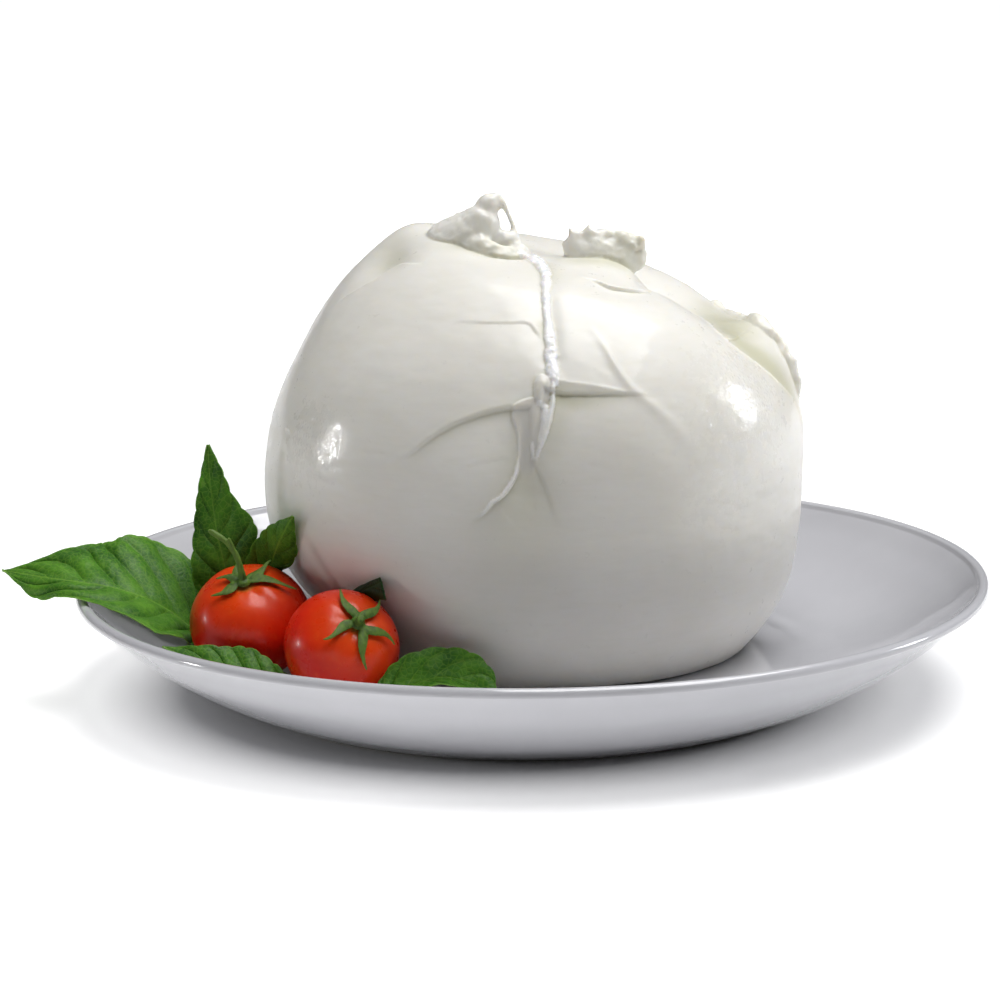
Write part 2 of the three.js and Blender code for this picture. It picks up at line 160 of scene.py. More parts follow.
def capped(rings, first, last, flip=False):
    """Points and faces of a body of revolution-like rings closed by a point at each end."""
    rows, columns = rings.shape[:2]
    points = np.concatenate([rings.reshape(-1, 3), [first, last]])
    faces = [tuple(face) for face in grid_faces(rows, columns, True, 0, flip)]
    low, high = rows * columns, rows * columns + 1
    for j in range(columns):
        k = (j + 1) % columns
        a, b = (k, j) if not flip else (j, k)
        faces.append((a, b, low))
        faces.append(((rows - 1) * columns + b, (rows - 1) * columns + a, high))
    return points, faces


def remade(thing, voxel_mm, smooth, most_faces=None):
    """Points and faces of one closed skin round everything in a mesh. The mesh object goes."""
    modifier = thing.modifiers.new("skin", "REMESH")
    modifier.mode = "VOXEL"
    modifier.voxel_size = voxel_mm * MM
    modifier = thing.modifiers.new("smooth", "SMOOTH")
    modifier.factor = 0.5
    modifier.iterations = smooth
    if most_faces:
        skin = thing.evaluated_get(bpy.context.evaluated_depsgraph_get()).data
        faces = sum(len(p.vertices) - 2 for p in skin.polygons)
        if faces > most_faces:
            modifier = thing.modifiers.new("thin", "DECIMATE")
            modifier.ratio = most_faces / faces
    shaped = thing.evaluated_get(bpy.context.evaluated_depsgraph_get()).data
    points = np.empty(len(shaped.vertices) * 3)
    shaped.vertices.foreach_get("co", points)
    points = points.reshape(-1, 3) / MM - [SLIDE, 0, 0]
    polygons = [tuple(p.vertices) for p in shaped.polygons]
    mesh = thing.data
    bpy.data.objects.remove(thing)
    bpy.data.meshes.remove(mesh)
    return points, polygons


def tube(points, radii, centre, sides=20, steps=80, flat=1.0, wobble=0.0, size=3.0, seed=0):
    """A round-ended strand along a curve. flat is how much lower than wide it is, as seen from centre."""
    share = np.linspace(0, 1, steps)
    spine = through(points, share)
    along = run_of(points, share)
    out = unit(spine - centre)
    side = unit(np.cross(along, out))
    out = np.cross(side, along)
    around = np.linspace(0, 2 * np.pi, sides, endpoint=False)
    end = np.sqrt(np.clip(1 - (np.abs(share * 2 - 1) ** 12), 0.02, 1))
    half = (np.maximum(through(radii, share), 0.15) * end)[:, None]
    ring = (
        spine[:, None]
        + side[:, None] * (half * np.cos(around))[..., None]
        + out[:, None] * (half * flat * np.sin(around))[..., None]
    )
    if wobble:
        push = layered(ring, size, 3, seed)[..., None]
        ring = ring + unit(ring - spine[:, None]) * push * wobble
    return capped(ring, spine[0], spine[-1])


def lump(centre, half, turn=0, wobble=0.0, size=3.0, seed=0):
    """A torn lump of curd: a ball stretched, turned about the upright and roughened."""
    down = np.linspace(0.08, np.pi - 0.08, 30)
    around = np.linspace(0, 2 * np.pi, 48, endpoint=False)
    d, a = np.meshgrid(down, around, indexing="ij")
    ball = np.stack([np.sin(d) * np.cos(a), np.sin(d) * np.sin(a), np.cos(d)], -1)
    c, s = math.cos(math.radians(turn)), math.sin(math.radians(turn))
    ring = ball * half @ np.array([[c, s, 0], [-s, c, 0], [0, 0, 1]]) + centre
    if wobble:
        ring = ring + unit(ball) * (layered(ring, size, 3, seed) * wobble)[..., None]
    top = np.array(centre) + [0, 0, half[2]]
    return capped(ring, top, 2 * np.array(centre) - top, flip=True)


def gathered(parts):
    """Several (points, faces) as one."""
    points, faces, first = [], [], 0
    for part_points, part_faces in parts:
        points.append(part_points)
        faces += [tuple(int(i) + first for i in face) for face in part_faces]
        first += len(part_points)
    return np.concatenate(points), faces


# ---- Plate ----


def plate():
    lip = 1.5
    wall = PLATE_RADIUS - lip
    outside = through([[72.5, 1.6], [84.2, 7], [97, 15], [105, 21.5],
                       [wall + lip * 0.95, PLATE_HEIGHT - lip * 1.3]], np.linspace(0, 1, 48))
    inside = through([[wall - lip * 0.9, PLATE_HEIGHT - lip * 0.8], [101, 20.9], [90, 13.8], [76, 9],
                      [FLOOR_RADIUS, PLATE_FLOOR]], np.linspace(0, 1, 56))
    turn = np.radians(np.linspace(-12, 142, 15))
    edge = np.stack([wall + lip * np.cos(turn), PLATE_HEIGHT - lip + lip * np.sin(turn)], -1)
    inner = FOOT_RADIUS - FOOT_WIDTH
    foot = [[inner - 1.2, FOOT_RECESS], [inner - 0.3, FOOT_RECESS - 0.3], [inner, 1.6], [inner + 0.1, 0.7],
            [inner + 0.6, 0.1], [inner + 1.2, 0], [FOOT_RADIUS - 0.9, 0], [FOOT_RADIUS - 0.2, 0.25],
            [FOOT_RADIUS + 0.6, 0.75]]
    under = np.stack([np.linspace(6, inner - 6, 6), np.full(6, FOOT_RECESS)], -1)
    middle = np.stack([np.linspace(FLOOR_RADIUS - 5, 4, 8), np.full(8, PLATE_FLOOR)], -1)
    profile = np.concatenate([under, foot, outside, edge, inside, middle])
    around = np.linspace(0, 2 * np.pi, 240, endpoint=False)
    rings = np.stack([profile[:, :1] * np.cos(around), profile[:, :1] * np.sin(around),
                      np.repeat(profile[:, 1:], len(around), 1)], -1)
    # hand-finished: the edge and walls rise and fall a little on the way round
    warp = 0.12 * np.sin(around * 3 + 1) * ease(profile[:, :1], 80, 108)
    rings[..., 2] = np.minimum(rings[..., 2] + warp, PLATE_HEIGHT)
    points, faces = capped(rings, [0, 0, FOOT_RECESS], [0, 0, PLATE_FLOOR])
    return make("plate_glazed", points, faces)


# ---- Ball of cheese ----


def heading(azimuth, elevation):
    a, e = np.radians(azimuth), np.radians(elevation)
    return np.stack([np.cos(e) * np.sin(a), -np.cos(e) * np.cos(a), np.sin(e)], -1)


# Swells and hollows: azimuth and elevation of the middle, how wide in degrees, and height.
SWELLS = [
    (-90, 62, 26, 6), (-90, 35, 24, -3.2), (-72, -42, 24, -7), (-38, -27, 17, -5), (90, 68, 24, -4.2),
    (90, 45, 22, -10.3), (90, 22, 22, 4.2), (90, 0, 22, -2.6), (90, -25, 26, 1.8), (0, 88, 26, -4.2),
    (88, 30, 9, 3), (114, 46, 10, 1.5),
    (-90, 65, 7, 2.2), (-69, 57, 6.5, -2.6),  # hump and dimple of the left shoulder
    (42, 61, 6, 0.9), (60, 72, 7, 1.2), (66, 67, 8, 2.4), (74, 62, 6, 1.4),  # skin drawn up to the tuft
    (-62, 61, 7, 1.2), (-12, 8, 7, 0.7), (24, 12, 14, 0.5), (-35, 30, 16, 0.5),
]

# Folds of the skin. At each stop: azimuth, elevation, how far the skin drops to the right of travel, and how
# far off the crease lies. rim is how far the edge stands up, step how wide the drop is and below how soon the
# skin comes back.
LEDGES = [
    {"stops": [(3.4, 30.3, 1.2, 3.0), (7.2, 29.4, 1.35, 2.9), (11.7, 28.6, 1.2, 2.4), (16.1, 27.6, 0.9, 1.6),
               (19.9, 26.5, 0.55, 0.8), (24, 25.6, 0.25, 0.4), (27.5, 25, 0, 0.4)],
     "rim": 0.22, "step": 0.7, "below": 7},
    {"stops": [(-31, 10.5, 0, 0.6), (-28.3, 13.1, 0.15, 0.6), (-25.8, 14.8, 0.35, 0.8), (-22.2, 17.9, 0.5, 0.9),
               (-18.1, 20.6, 0.6, 1.0), (-14, 22.5, 0.65, 1.1), (-10.1, 23.9, 0.7, 1.2), (-6.4, 24.7, 0.75, 1.2),
               (-1.4, 25, 0.7, 1.2)],
     "rim": 0.2, "step": 0.8, "below": 9},
    {"stops": [(-47, 57, 0, 0.8), (-52, 56.5, 0.6, 0.8), (-57.1, 55.5, 1.1, 0.8), (-59.8, 52, 1.1, 0.8),
               (-62.4, 49.1, 1.0, 0.8), (-65.9, 46.3, 0.8, 0.8), (-70.1, 43.5, 0.4, 0.8), (-75, 40, 0, 0.8)],
     "rim": 0.25, "step": 0.8, "below": 6},
    {"stops": [(-14, 0.5, 0, 0.6), (-10.4, 3.2, 0.45, 0.6), (-8.8, 5.1, 0.7, 0.6), (-7.2, 6.1, 0.9, 0.6),
               (-5.8, 7.7, 1.05, 0.6), (-4.5, 9.7, 1.1, 0.6), (-3.7, 11.7, 1, 0.6), (-3.5, 14.7, 0.7, 0.6),
               (-3.3, 19.3, 0.3, 0.6), (-3.2, 22, 0, 0.6)],
     "rim": 0.2, "step": 0.6, "below": 5},
    {"stops": [(-0.6, 17, 0, 0.8), (0, 13.7, 0.25, 0.8), (1.6, 10.6, 0.4, 0.9), (3, 7.6, 0.4, 1.1),
               (4.1, 4.5, 0.25, 1.4), (5.5, 0, 0, 1.5)],
     "rim": 0.08, "step": 0.9, "below": 3},
    {"stops": [(-25, 41, 0, 0.4), (-20.3, 43.1, 0.12, 0.4), (-13.5, 43.4, 0.22, 0.4), (-6.4, 43.7, 0.22, 0.4),
               (-1.3, 43.8, 0.28, 0.5), (0.9, 41.7, 0.35, 0.5), (2.5, 39.5, 0, 0.5)],
     "rim": 0.1, "step": 0.5, "below": 3},
    {"stops": [(-16, 11.8, 0, 0.4), (-13.4, 12.6, 0.15, 0.4), (-8.9, 13.7, 0.2, 0.4), (-4.5, 14.8, 0, 0.4)],
     "rim": 0.06, "step": 0.5, "below": 3},
    {"stops": [(23, 59.5, 0, 0.5), (27.7, 56.8, 0.6, 0.6), (31.5, 54.3, 0.9, 0.7), (38.4, 52.9, 0.9, 0.6),
               (46, 52.3, 0.6, 0.5), (53, 52.8, 0, 0.4)],
     "rim": 0.2, "step": 0.6, "below": 4},
    {"stops": [(82, 8, 0, 0.5), (79.5, 12, 0.8, 0.5), (77.7, 15.1, 1.8, 0.6), (75.6, 17.6, 2.4, 0.6),
               (70.7, 22, 2.8, 0.7), (66.9, 26.3, 3, 0.7), (63, 30.2, 3, 0.7), (60.7, 33.8, 2.8, 0.7),
               (61.5, 38, 2.2, 0.7), (66, 42, 1.4, 0.7), (65, 47, 0.9, 0.6), (58, 50.5, 0.6, 0.6),
               (48, 53.8, 0, 0.5)],
     "rim": 0.45, "step": 0.8, "below": 9},
]

# Soft grooves and ridges. At each stop: azimuth, elevation, height and width.
LINES = [
    [(15.5, 42.5, 0, 0.9), (17.2, 39.1, 0.22, 0.9), (18.6, 35.6, 0.32, 0.9), (19.7, 32.5, 0.36, 1),
     (21, 29.3, 0.38, 1), (22.7, 26.6, 0.36, 1.1), (25.7, 23.6, 0.32, 1.3), (28.5, 20.6, 0.26, 1.6),
     (32.2, 16, 0.18, 1.9), (39, 6, 0, 2.4)],
    [(-3, 24, 0, 6), (-2.5, 19, -0.5, 6), (-2, 13, -1.0, 6), (-2, 7, -1.1, 7), (-2.5, 1, -0.6, 8),
     (-3, -6, 0, 9)],
    [(-50, 68, 0, 4), (-38, 69.5, -0.7, 4), (-28, 70, -1.5, 4), (-16, 71, -1.8, 3.5), (-8, 72, -1.2, 3),
     (0, 73, 0, 3)],
    [(6, 72, 0, 3), (6, 62, -0.5, 3), (4.9, 50, -0.7, 3), (4.4, 41.7, -0.7, 3), (4.4, 34.4, -0.6, 3),
     (4.5, 30, 0, 3)],
    [(-30, 2, 0, 12), (-10, 2, -0.5, 12), (20, 4, -0.8, 12), (45, 6, -0.8, 12), (70, 10, 0, 12)],
    [(118, 38, 0, 5), (110, 36, 0.8, 5), (100, 34.5, 1.8, 5), (92, 33, 2.4, 5), (90, 30, 1.8, 4.5),
     (88.8, 26.5, 0.9, 4), (88, 21.5, 0.5, 4), (87.2, 17.4, 0.3, 4), (86, 11, 0, 4)],
]

# Strands that lie on the skin. At each stop: azimuth, elevation, half width and height.
SEAM = [(-7, 72.6, 1.2, 0.6), (-1, 71.6, 1.8, 0.9), (3.6, 69, 2.0, 1.0), (5.8, 65.6, 1.8, 0.9),
        (6.4, 61.5, 1.3, 0.8), (6.2, 57.6, 1.1, 0.8),
        (5, 53.2, 1.0, 0.75), (4.4, 48.9, 0.9, 0.7), (4.5, 44.8, 1.0, 0.7),
        (4.4, 41.6, 1.1, 0.75), (4.5, 39.1, 1.3, 0.8), (4.4, 35.6, 1.55, 0.85), (4.4, 32.6, 1.6, 0.9),
        (4.6, 30.8, 1.4, 0.8), (4.9, 29.2, 0.8, 0.4)]
BEAD = [(2.4, 31.2, 0.5, 0), (2.2, 30.6, 1.3, 0.7), (2.0, 29.3, 1.9, 1.4), (1.9, 27.7, 2.0, 1.6),
        (1.7, 26, 1.7, 1.3), (1.6, 24.8, 1.0, 0.8), (1.5, 24.2, 0.5, 0)]
SHEET = [(2.2, 26, 0.8, 0.3), (0.6, 24.6, 2.6, 0.8), (-0.8, 23, 4.4, 0.85), (-0.9, 21.3, 3.9, 0.7),
         (-0.9, 18.8, 3.1, 0.5), (-1.4, 15.5, 2.5, 0.35), (-1.8, 12, 1.8, 0.2), (-2, 9.5, 1.2, 0)]
EDGES = [
    [(4.4, 29.9, 0.3, 0.3), (4.3, 28.5, 0.5, 1.0), (4.1, 25.3, 0.6, 1.15), (3.5, 23.3, 0.7, 1.1),
     (3.0, 21.5, 0.8, 1.0), (2.2, 19, 0.75, 0.8), (1.3, 17, 0.6, 0.6), (0.4, 14.7, 0.4, 0.3),
     (0.2, 13.5, 0.3, 0)],
    [(1.0, 25, 0.6, 0.5), (2.2, 24.3, 0.9, 1.1), (2.2, 21.3, 0.9, 0.95), (1.4, 18.6, 0.6, 0.6),
     (0.8, 17, 0.4, 0)],
    [(-12, 1.8, 0.4, 0), (-10.4, 3.2, 0.45, 0.15), (-8.8, 5.1, 0.5, 0.3), (-7.2, 6.1, 0.5, 0.4),
     (-5.8, 7.7, 0.55, 0.45), (-4.6, 9.7, 0.5, 0.4), (-3.9, 11.7, 0.4, 0.25), (-3.6, 14.7, 0.3, 0)],
    [(-0.7, 17.6, 0.3, 0), (-0.6, 16.5, 0.4, 0.5), (-0.5, 14.7, 0.35, 0.35), (-0.4, 13.6, 0.3, 0)],
]

# Where beads of whey stand on the skin: azimuth, elevation and spread.
WET = [(50, 20, 15), (-52, 14, 9), (40, 4, 9)]

# Where olive shade is painted on the skin, along creases and undersides: under the ledges, the horn and the tuft,
# in the gully, the dimple and the hollow below the flap. At each stop: azimuth, elevation, strength and width.
OLIVE_SHADE = [
    [(4.6, 26.6, 0.9, 3.0), (9, 25.8, 0.75, 2.4), (14.7, 25.4, 0.45, 2.0), (19.3, 25.3, 0.25, 1.4),
     (23, 25.3, 0, 1)],
    [(-3, 24.2, 0.4, 1.6), (-10, 22.8, 0.4, 1.6), (-18, 19.6, 0.3, 1.6), (-25, 14, 0.15, 1.6)],
    [(104, 40, 0.5, 4), (90, 38, 0.9, 6), (75, 35, 1, 6), (74, 30, 1, 6), (76, 24.7, 1, 6), (80, 18, 0.8, 5),
     (82, 13, 0.3, 4)],
    [(-56, 65, 0.2, 4), (-46, 68, 0.5, 4), (-34, 70, 0.6, 4), (-24, 70.6, 1, 4), (-14, 71.4, 1, 3.4),
     (-7, 72, 0.5, 3)],
    [(5.4, 23.5, 0.4, 3), (4.2, 18, 0.35, 3), (2.8, 13, 0.1, 3)],
    [(2.6, 43.4, 0.7, 1.2), (2.6, 41.6, 0.6, 1.2), (2.9, 39, 0.2, 1.0)],
    [(8.6, 66, 0.35, 3), (8, 60, 0.4, 2.4), (7.4, 56, 0.1, 2)],
    [(40, 71, 0.6, 6), (60, 68, 0.9, 6), (84, 64, 0.8, 6)],
    [(-78, 58, 0.3, 5), (-68, 57, 0.5, 5), (-60, 56, 0.3, 4)],
    [(-4, 20, 0.1, 4), (-3.2, 14, 0.4, 5), (-2.6, 8, 0.5, 7), (-3, 1, 0.35, 10), (-2, -6, 0.15, 12)],
]


class Route:
    """A line over the ball through stops of azimuth, elevation and two more values."""

    def __init__(self, directions, stops, reach):
        self.stops = np.array(stops, float)
        corners = unit(through(heading(self.stops[:, 0], self.stops[:, 1]), np.linspace(0, 1, 5 * len(stops))))
        middle = unit(corners.mean(0))
        spread = np.arccos(np.clip(corners @ middle, -1, 1)).max()
        self.near = directions @ middle > math.cos(min(spread + reach / 54, math.pi))
        close = directions[self.near]
        best = np.full(len(close), np.inf)
        side = np.ones(len(close))
        self.share = np.zeros(len(close))
        past = np.zeros(len(close))
        for i, (a, b) in enumerate(zip(corners[:-1], corners[1:])):
            run = b - a
            free = (close - a) @ run / (run @ run)
            t = np.clip(free, 0, 1)
            off = close - (a + t[:, None] * run)
            distance = np.linalg.norm(off, axis=1) * BALL_HALF[1]
            nearer = distance < best
            best[nearer] = distance[nearer]
            side[nearer] = np.where((np.cross(run, close[nearer]) * off[nearer]).sum(1) >= 0, 1.0, -1.0)
            self.share[nearer] = (i + t[nearer]) / (len(corners) - 1)
            past[nearer] = (np.abs(free - t)[nearer]) * np.linalg.norm(run) * BALL_HALF[1]
        self.across = best * side
        at_end = (self.share <= 0) | (self.share >= 1)
        self.fade = np.where(at_end, bell(past, 0.6), 1.0)

    def value(self, column):
        return np.interp(self.share * (len(self.stops) - 1), np.arange(len(self.stops)), self.stops[:, column])


def degrees_from(directions, azimuth, elevation):
    return np.degrees(np.arccos(np.clip(directions @ heading(azimuth, elevation), -1, 1)))


def swollen(directions):
    shares = (np.abs(directions / BALL_HALF) ** BALL_FULLNESS).sum(-1)
    radius = shares ** (-1 / BALL_FULLNESS)
    for azimuth, elevation, spread, height in SWELLS:
        radius = radius + height * bell(degrees_from(directions, azimuth, elevation), spread)
    return radius


def folded(directions):
    """Height that folds, grooves and ridges add to the skin."""
    height = np.zeros(len(directions))
    for ledge in LEDGES:
        route = Route(directions, ledge["stops"], 3 * ledge["below"])
        x, drop, width = route.across, route.value(2) * route.fade, route.value(3)
        down = ease(x, width - ledge["step"], width)
        level = np.where(x < 0, 0, -0.2 * drop * np.clip(x / width, 0, 1)) - 0.8 * drop * down
        level = np.where(x > width, -drop * np.exp(-(x - width) / ledge["below"]), level)
        height[route.near] += level + ledge["rim"] * np.minimum(drop / 0.6, 1) * np.exp(-np.abs(x) / 0.6)
    for stops in LINES:
        route = Route(directions, stops, 3 * max(stop[3] for stop in stops))
        height[route.near] += route.value(2) * bell(route.across, route.value(3))
    return height


def strand(directions, stops, ragged=0.0, seed=0, flat=False):
    """Height of a strand or sheet on the skin, and how much it covers."""
    route = Route(directions, stops, 8)
    place = directions[route.near] * BALL_HALF[1]
    half = route.value(2) * (1 + ragged * layered(place, 2.2, 2, seed))
    off = np.abs(route.across) / np.maximum(half, 0.05)
    if flat:
        profile = (1 - ease(off, 0.86, 1.04)) * (0.45 + 0.55 * off**2)
    else:
        profile = np.sqrt(np.clip(1 - off**2, 0, 1))
    height, cover = np.zeros(len(directions)), np.zeros(len(directions))
    rough = 1 + 1.2 * ragged * layered(place, 1.1, 2, seed + 5)
    height[route.near] = route.value(3) * profile * rough
    cover[route.near] = (1 - ease(off, 0.85, 1.15)) * np.minimum(route.value(3) / 0.25, 1)
    return height, cover


def skin(directions):
    """Radius of the ball's skin, how much a white strand and a grey sheet cover it, and where it is wet."""
    base = swollen(directions) + folded(directions)
    points = BALL_CENTRE + directions * base[:, None]
    base = base + 0.3 * layered(points, 22, 2, 3) + 0.06 * layered(points * [1, 1, 2.2], 4.5, 2, 9)
    seam_height, white = strand(directions, SEAM, 0.3, 31)
    bead_height, bead = strand(directions, BEAD)
    sheet_height, sheet = strand(directions, SHEET, 0, 0, True)
    height = np.maximum(np.maximum(seam_height, bead_height), sheet_height)
    for seed, stops in enumerate(EDGES):
        edge_height, edge = strand(directions, stops, 0.12, 60 + seed)
        height = np.maximum(height, edge_height)
        white = np.maximum(white, edge * 0.6)
    # painted olive shade along the creases and undersides
    olive_shade = np.zeros(len(directions))
    for stops in OLIVE_SHADE:
        route = Route(directions, stops, 3 * max(stop[3] for stop in stops))
        near = olive_shade[route.near]
        olive_shade[route.near] = np.maximum(near, route.value(2) * bell(route.across, route.value(3)))
    wet = np.zeros(len(directions))
    for azimuth, elevation, spread in WET:
        wet = np.maximum(wet, bell(degrees_from(directions, azimuth, elevation), spread))
    fields = {"white": white, "sheet": np.maximum(bead, sheet), "olive_shade": olive_shade * (1 - white), "wet": wet}
    return base + height, fields


def on_ball(stops):
    """Points at (azimuth, elevation, lift) stops over the skin."""
    stops = np.array(stops, float)
    directions = heading(stops[:, 0], stops[:, 1])
    return BALL_CENTRE + directions * (swollen(directions) + folded(directions) + stops[:, 2])[:, None]


def ball_skin():
    """The ball itself, denser over the folded front than at the back."""
    rows, columns = 500, 780
    elevation = 90 - 180 * (np.arange(rows) + 0.5) / rows
    turn = np.linspace(-np.pi, np.pi, columns, endpoint=False)
    azimuth = np.degrees(turn - 0.4 * np.sin(turn))
    e, a = np.meshgrid(elevation, azimuth, indexing="ij")
    directions = heading(a.ravel(), e.ravel())
    radius = skin(directions)[0]
    points = BALL_CENTRE + directions * radius[:, None]
    points[:, 2] = np.maximum(points[:, 2], BALL_BOTTOM)
    top = BALL_CENTRE + [0, 0, float(radius[:columns].mean())]
    foot = [BALL_CENTRE[0], BALL_CENTRE[1], BALL_BOTTOM]
    return capped(points.reshape(rows, columns, 3), top, foot, flip=True)


def horn():
    ridge = [[-31, 7, 98.6], [-25.5, 5.4, 101.8], [-20.8, 4, 104.4], [-16.5, 2.8, 107], [-13, 1.6, 110.2],
             [-10.9, 0.9, 113.4], [-9.6, 0.8, 116.2]]
    string = [[-8, 0.8, 118.6], [-6.3, 0.7, 118.2], [-5.1, 0.5, 116.2], [-4, 0.3, 113.8], [-3.3, 0.1, 111.6],
              [-3, -0.3, 109.8], [-3, -0.8, 108], [-3.2, -2, 105.5]]
    parts = [
        tube(ridge, [3.6, 5.6, 6.9, 7.2, 6.2, 4.9, 3.7], BALL_CENTRE, 48, 120, wobble=0.35, size=5, seed=4),
        lump([-9.3, 0.8, 117.2], [3.2, 2.6, 2.7], 0, 0.55, 2, 11),
        lump([-7.4, 0.9, 119.1], [1.5, 1.3, 1.1], 0, 0.5, 1.2, 12),
        tube(string, [1.0, 0.9, 0.75, 0.75, 0.85, 1.2, 1.8, 2.2], BALL_CENTRE, 18, 90,
             wobble=0.15, size=1.4, seed=8),
        lump([-5.6, -0.6, 108.4], [3.6, 2.6, 2.9], 0, 0.4, 2.2, 13),
        lump([-11.4, -4.4, 107.2], [4.6, 2.6, 3.0], -8, 0.5, 3, 14),
        lump([-2.2, -3.2, 106.2], [2.8, 2.2, 1.9], 0, 0.5, 1.6, 17),
        lump([-6.4, -5.4, 106], [3.0, 2.0, 1.9], 10, 0.5, 1.6, 19),
    ]
    # torn fringe under the horn
    rng = np.random.default_rng(5)
    for k in range(20):
        foot = np.array([-15 + k * 0.76, -5.6 - 0.6 * math.sin(k), 105.8 + rng.uniform(-0.6, 0.6)])
        tip = foot + [rng.uniform(-0.8, 0.8), -0.5 - rng.uniform(0, 0.6), rng.uniform(-1.3, -0.3)]
        route = [foot, (foot + tip) / 2 + [0, -0.3, 0.2], tip]
        parts.append(tube(route, [1.0, 0.8, 0.4], BALL_CENTRE, 10, 12, 0.6))
    return parts


def tuft():
    parts = [
        lump([18.4, 6, 103], [9.4, 4.6, 5.4], 8, 0.4, 5, 20),
        lump([12.4, 7, 105.4], [4.0, 3.8, 4.0], 0, 0.6, 2.6, 21),
        lump([17.4, 7.2, 106.2], [4.6, 4.0, 4.0], 20, 0.7, 2.6, 24),
        lump([22.4, 7.6, 105.2], [4.4, 4.0, 3.8], 0, 0.6, 2.4, 27),
        lump([26.2, 7.8, 103], [2.6, 3, 3.2], 0, 0.5, 2, 30),
    ]
    # flat shards along the torn top edge, lower towards the right
    rng = np.random.default_rng(12)
    for x in np.linspace(10.4, 27.6, 30):
        crest = 109.6 - 0.014 * (x - 15) ** 2
        foot = np.array([x, 6.4 + rng.uniform(-1.6, 1.6), crest - 2])
        tip = np.array([x + rng.uniform(-1.4, 1.0), 6 + rng.uniform(-1.4, 0.6), crest + rng.uniform(-0.6, 1.3)])
        route = [foot, (foot + tip) / 2, tip]
        parts.append(tube(route, [1.7, 1.4, 0.9], BALL_CENTRE, 12, 14, 0.6, 0.4, 1.2, int(x * 10)))
    # longer points that stand out of the row
    for x, lean, rise in ((11.4, -1.6, 1.6), (14.9, -0.3, 2.8), (18.4, 0.5, 1.4), (26.8, 1.0, 1.4)):
        crest = 109.4 - 0.014 * (x - 15) ** 2
        route = [[x, 6.2, crest - 2], [x + lean * 0.4, 6, crest], [x + lean, 5.8, crest + rise]]
        parts.append(tube(route, [1.8, 1.4, 0.6], BALL_CENTRE, 14, 22, 0.5, 0.35, 1.0, int(x * 7)))
    return parts


def lip():
    outer = on_ball([(120, 38, -1), (112, 36.5, -0.5), (104, 35, -0.5), (97, 33.8, -0.1), (92, 33, 0.3),
                     (90, 30.7, -0.2), (88.8, 26.5, -0.1), (88, 21.5, 0), (87.2, 17.4, -0.1),
                     (86, 11.5, -0.8)])
    radii = [1.1, 1.5, 1.8, 2.0, 2.3, 2.2, 1.9, 1.7, 1.4, 0.9]
    parts = [
        tube(outer, radii, BALL_CENTRE, 28, 170, 0.9, 1.0, 2.4, 61),
        lump(on_ball([(93, 33.2, 0.6)])[0], [2.4, 2.6, 2.2], 0, 0.8, 1.6, 67),
    ]
    rng = np.random.default_rng(31)
    spine = through(outer, np.linspace(0.2, 0.92, 26))
    for foot in spine:
        outward = unit(foot - BALL_CENTRE)
        tip = foot + outward * rng.uniform(1.5, 2.5)
        tip = tip + [rng.uniform(-0.7, 0.3), -rng.uniform(0, 1), rng.uniform(-0.8, 1.0)]
        route = [foot + outward * 0.8, (foot + tip) / 2 + outward * 0.5, tip]
        parts.append(tube(route, [1.1, 0.7, 0.3], BALL_CENTRE, 10, 12, 0.7))
    return parts


class Net:
    """Which points of a mesh are joined by an edge."""

    def __init__(self, faces, size):
        corners = np.array([face if len(face) == 4 else (*face, face[2]) for face in faces])
        pairs = np.concatenate([corners[:, [k, (k + 1) % 4]] for k in range(4)])
        pairs = np.unique(np.sort(pairs, 1), axis=0)
        self.pairs = pairs[pairs[:, 0] != pairs[:, 1]]
        self.count = np.maximum(np.bincount(self.pairs.ravel(), minlength=size), 1).astype(float)[:, None]

    def mean(self, values):
        """The mean of each point's neighbours."""
        first, second = self.pairs.T
        size = len(values)
        total = np.stack([np.bincount(first, column[second], size) + np.bincount(second, column[first], size)
                          for column in values.T], 1)
        return total / self.count


def hollowness(thing, net, rounds):
    """How deep each point lies among its surroundings, as millimetres below the mean of a patch round it."""
    size = len(thing.data.vertices)
    points, normals = np.empty(size * 3), np.empty(size * 3)
    thing.data.vertices.foreach_get("co", points)
    thing.data.vertex_normals.foreach_get("vector", normals)
    points = points.reshape(-1, 3) / MM
    blurred = points
    for _ in range(rounds):
        blurred = net.mean(blurred)
    return ((blurred - points) * normals.reshape(-1, 3)).sum(1)


CHEESE_VOXEL = 0.42
CHEESE_FACES = 193000
RELAX_ROUNDS = 9  # evens out the slivers of the thinned mesh
HOLLOW_ROUNDS = 8


def cheese():
    rough_form = make("cheese_parts", *gathered([ball_skin(), *horn(), *tuft(), *lip()]))
    points, faces = remade(rough_form, CHEESE_VOXEL, 1, CHEESE_FACES)
    net = Net(faces, len(points))
    for _ in range(RELAX_ROUNDS):
        points = points + 0.6 * (net.mean(points) - points)
    away = points - BALL_CENTRE
    reach = np.linalg.norm(away, axis=1)
    directions = away / reach[:, None]
    radius, fields = skin(directions)
    off = reach - radius
    settled = reach - off * (1 - ease(np.abs(off), 0.35, 0.9))
    fields["torn"] = ease(off, 0.4, 1.4)
    points = BALL_CENTRE + directions * settled[:, None]
    rough = 0.24 * layered(points, 2.4, 2, 80) + 0.14 * layered(points, 1.1, 2, 83)
    points = points + directions * (fields["torn"] * rough)[:, None]
    points[:, 2] = np.maximum(points[:, 2], BALL_BOTTOM)
    thing = make("cheese_ball", points, faces, fields)
    # how deep each point lies, which drives the painted shade in hollows
    layer = thing.data.attributes.new("hollow", "FLOAT", "POINT")
    layer.data.foreach_set("value", hollowness(thing, net, HOLLOW_ROUNDS).astype(np.float32))
    return thing


# ---- Tomatoes and stalks ----


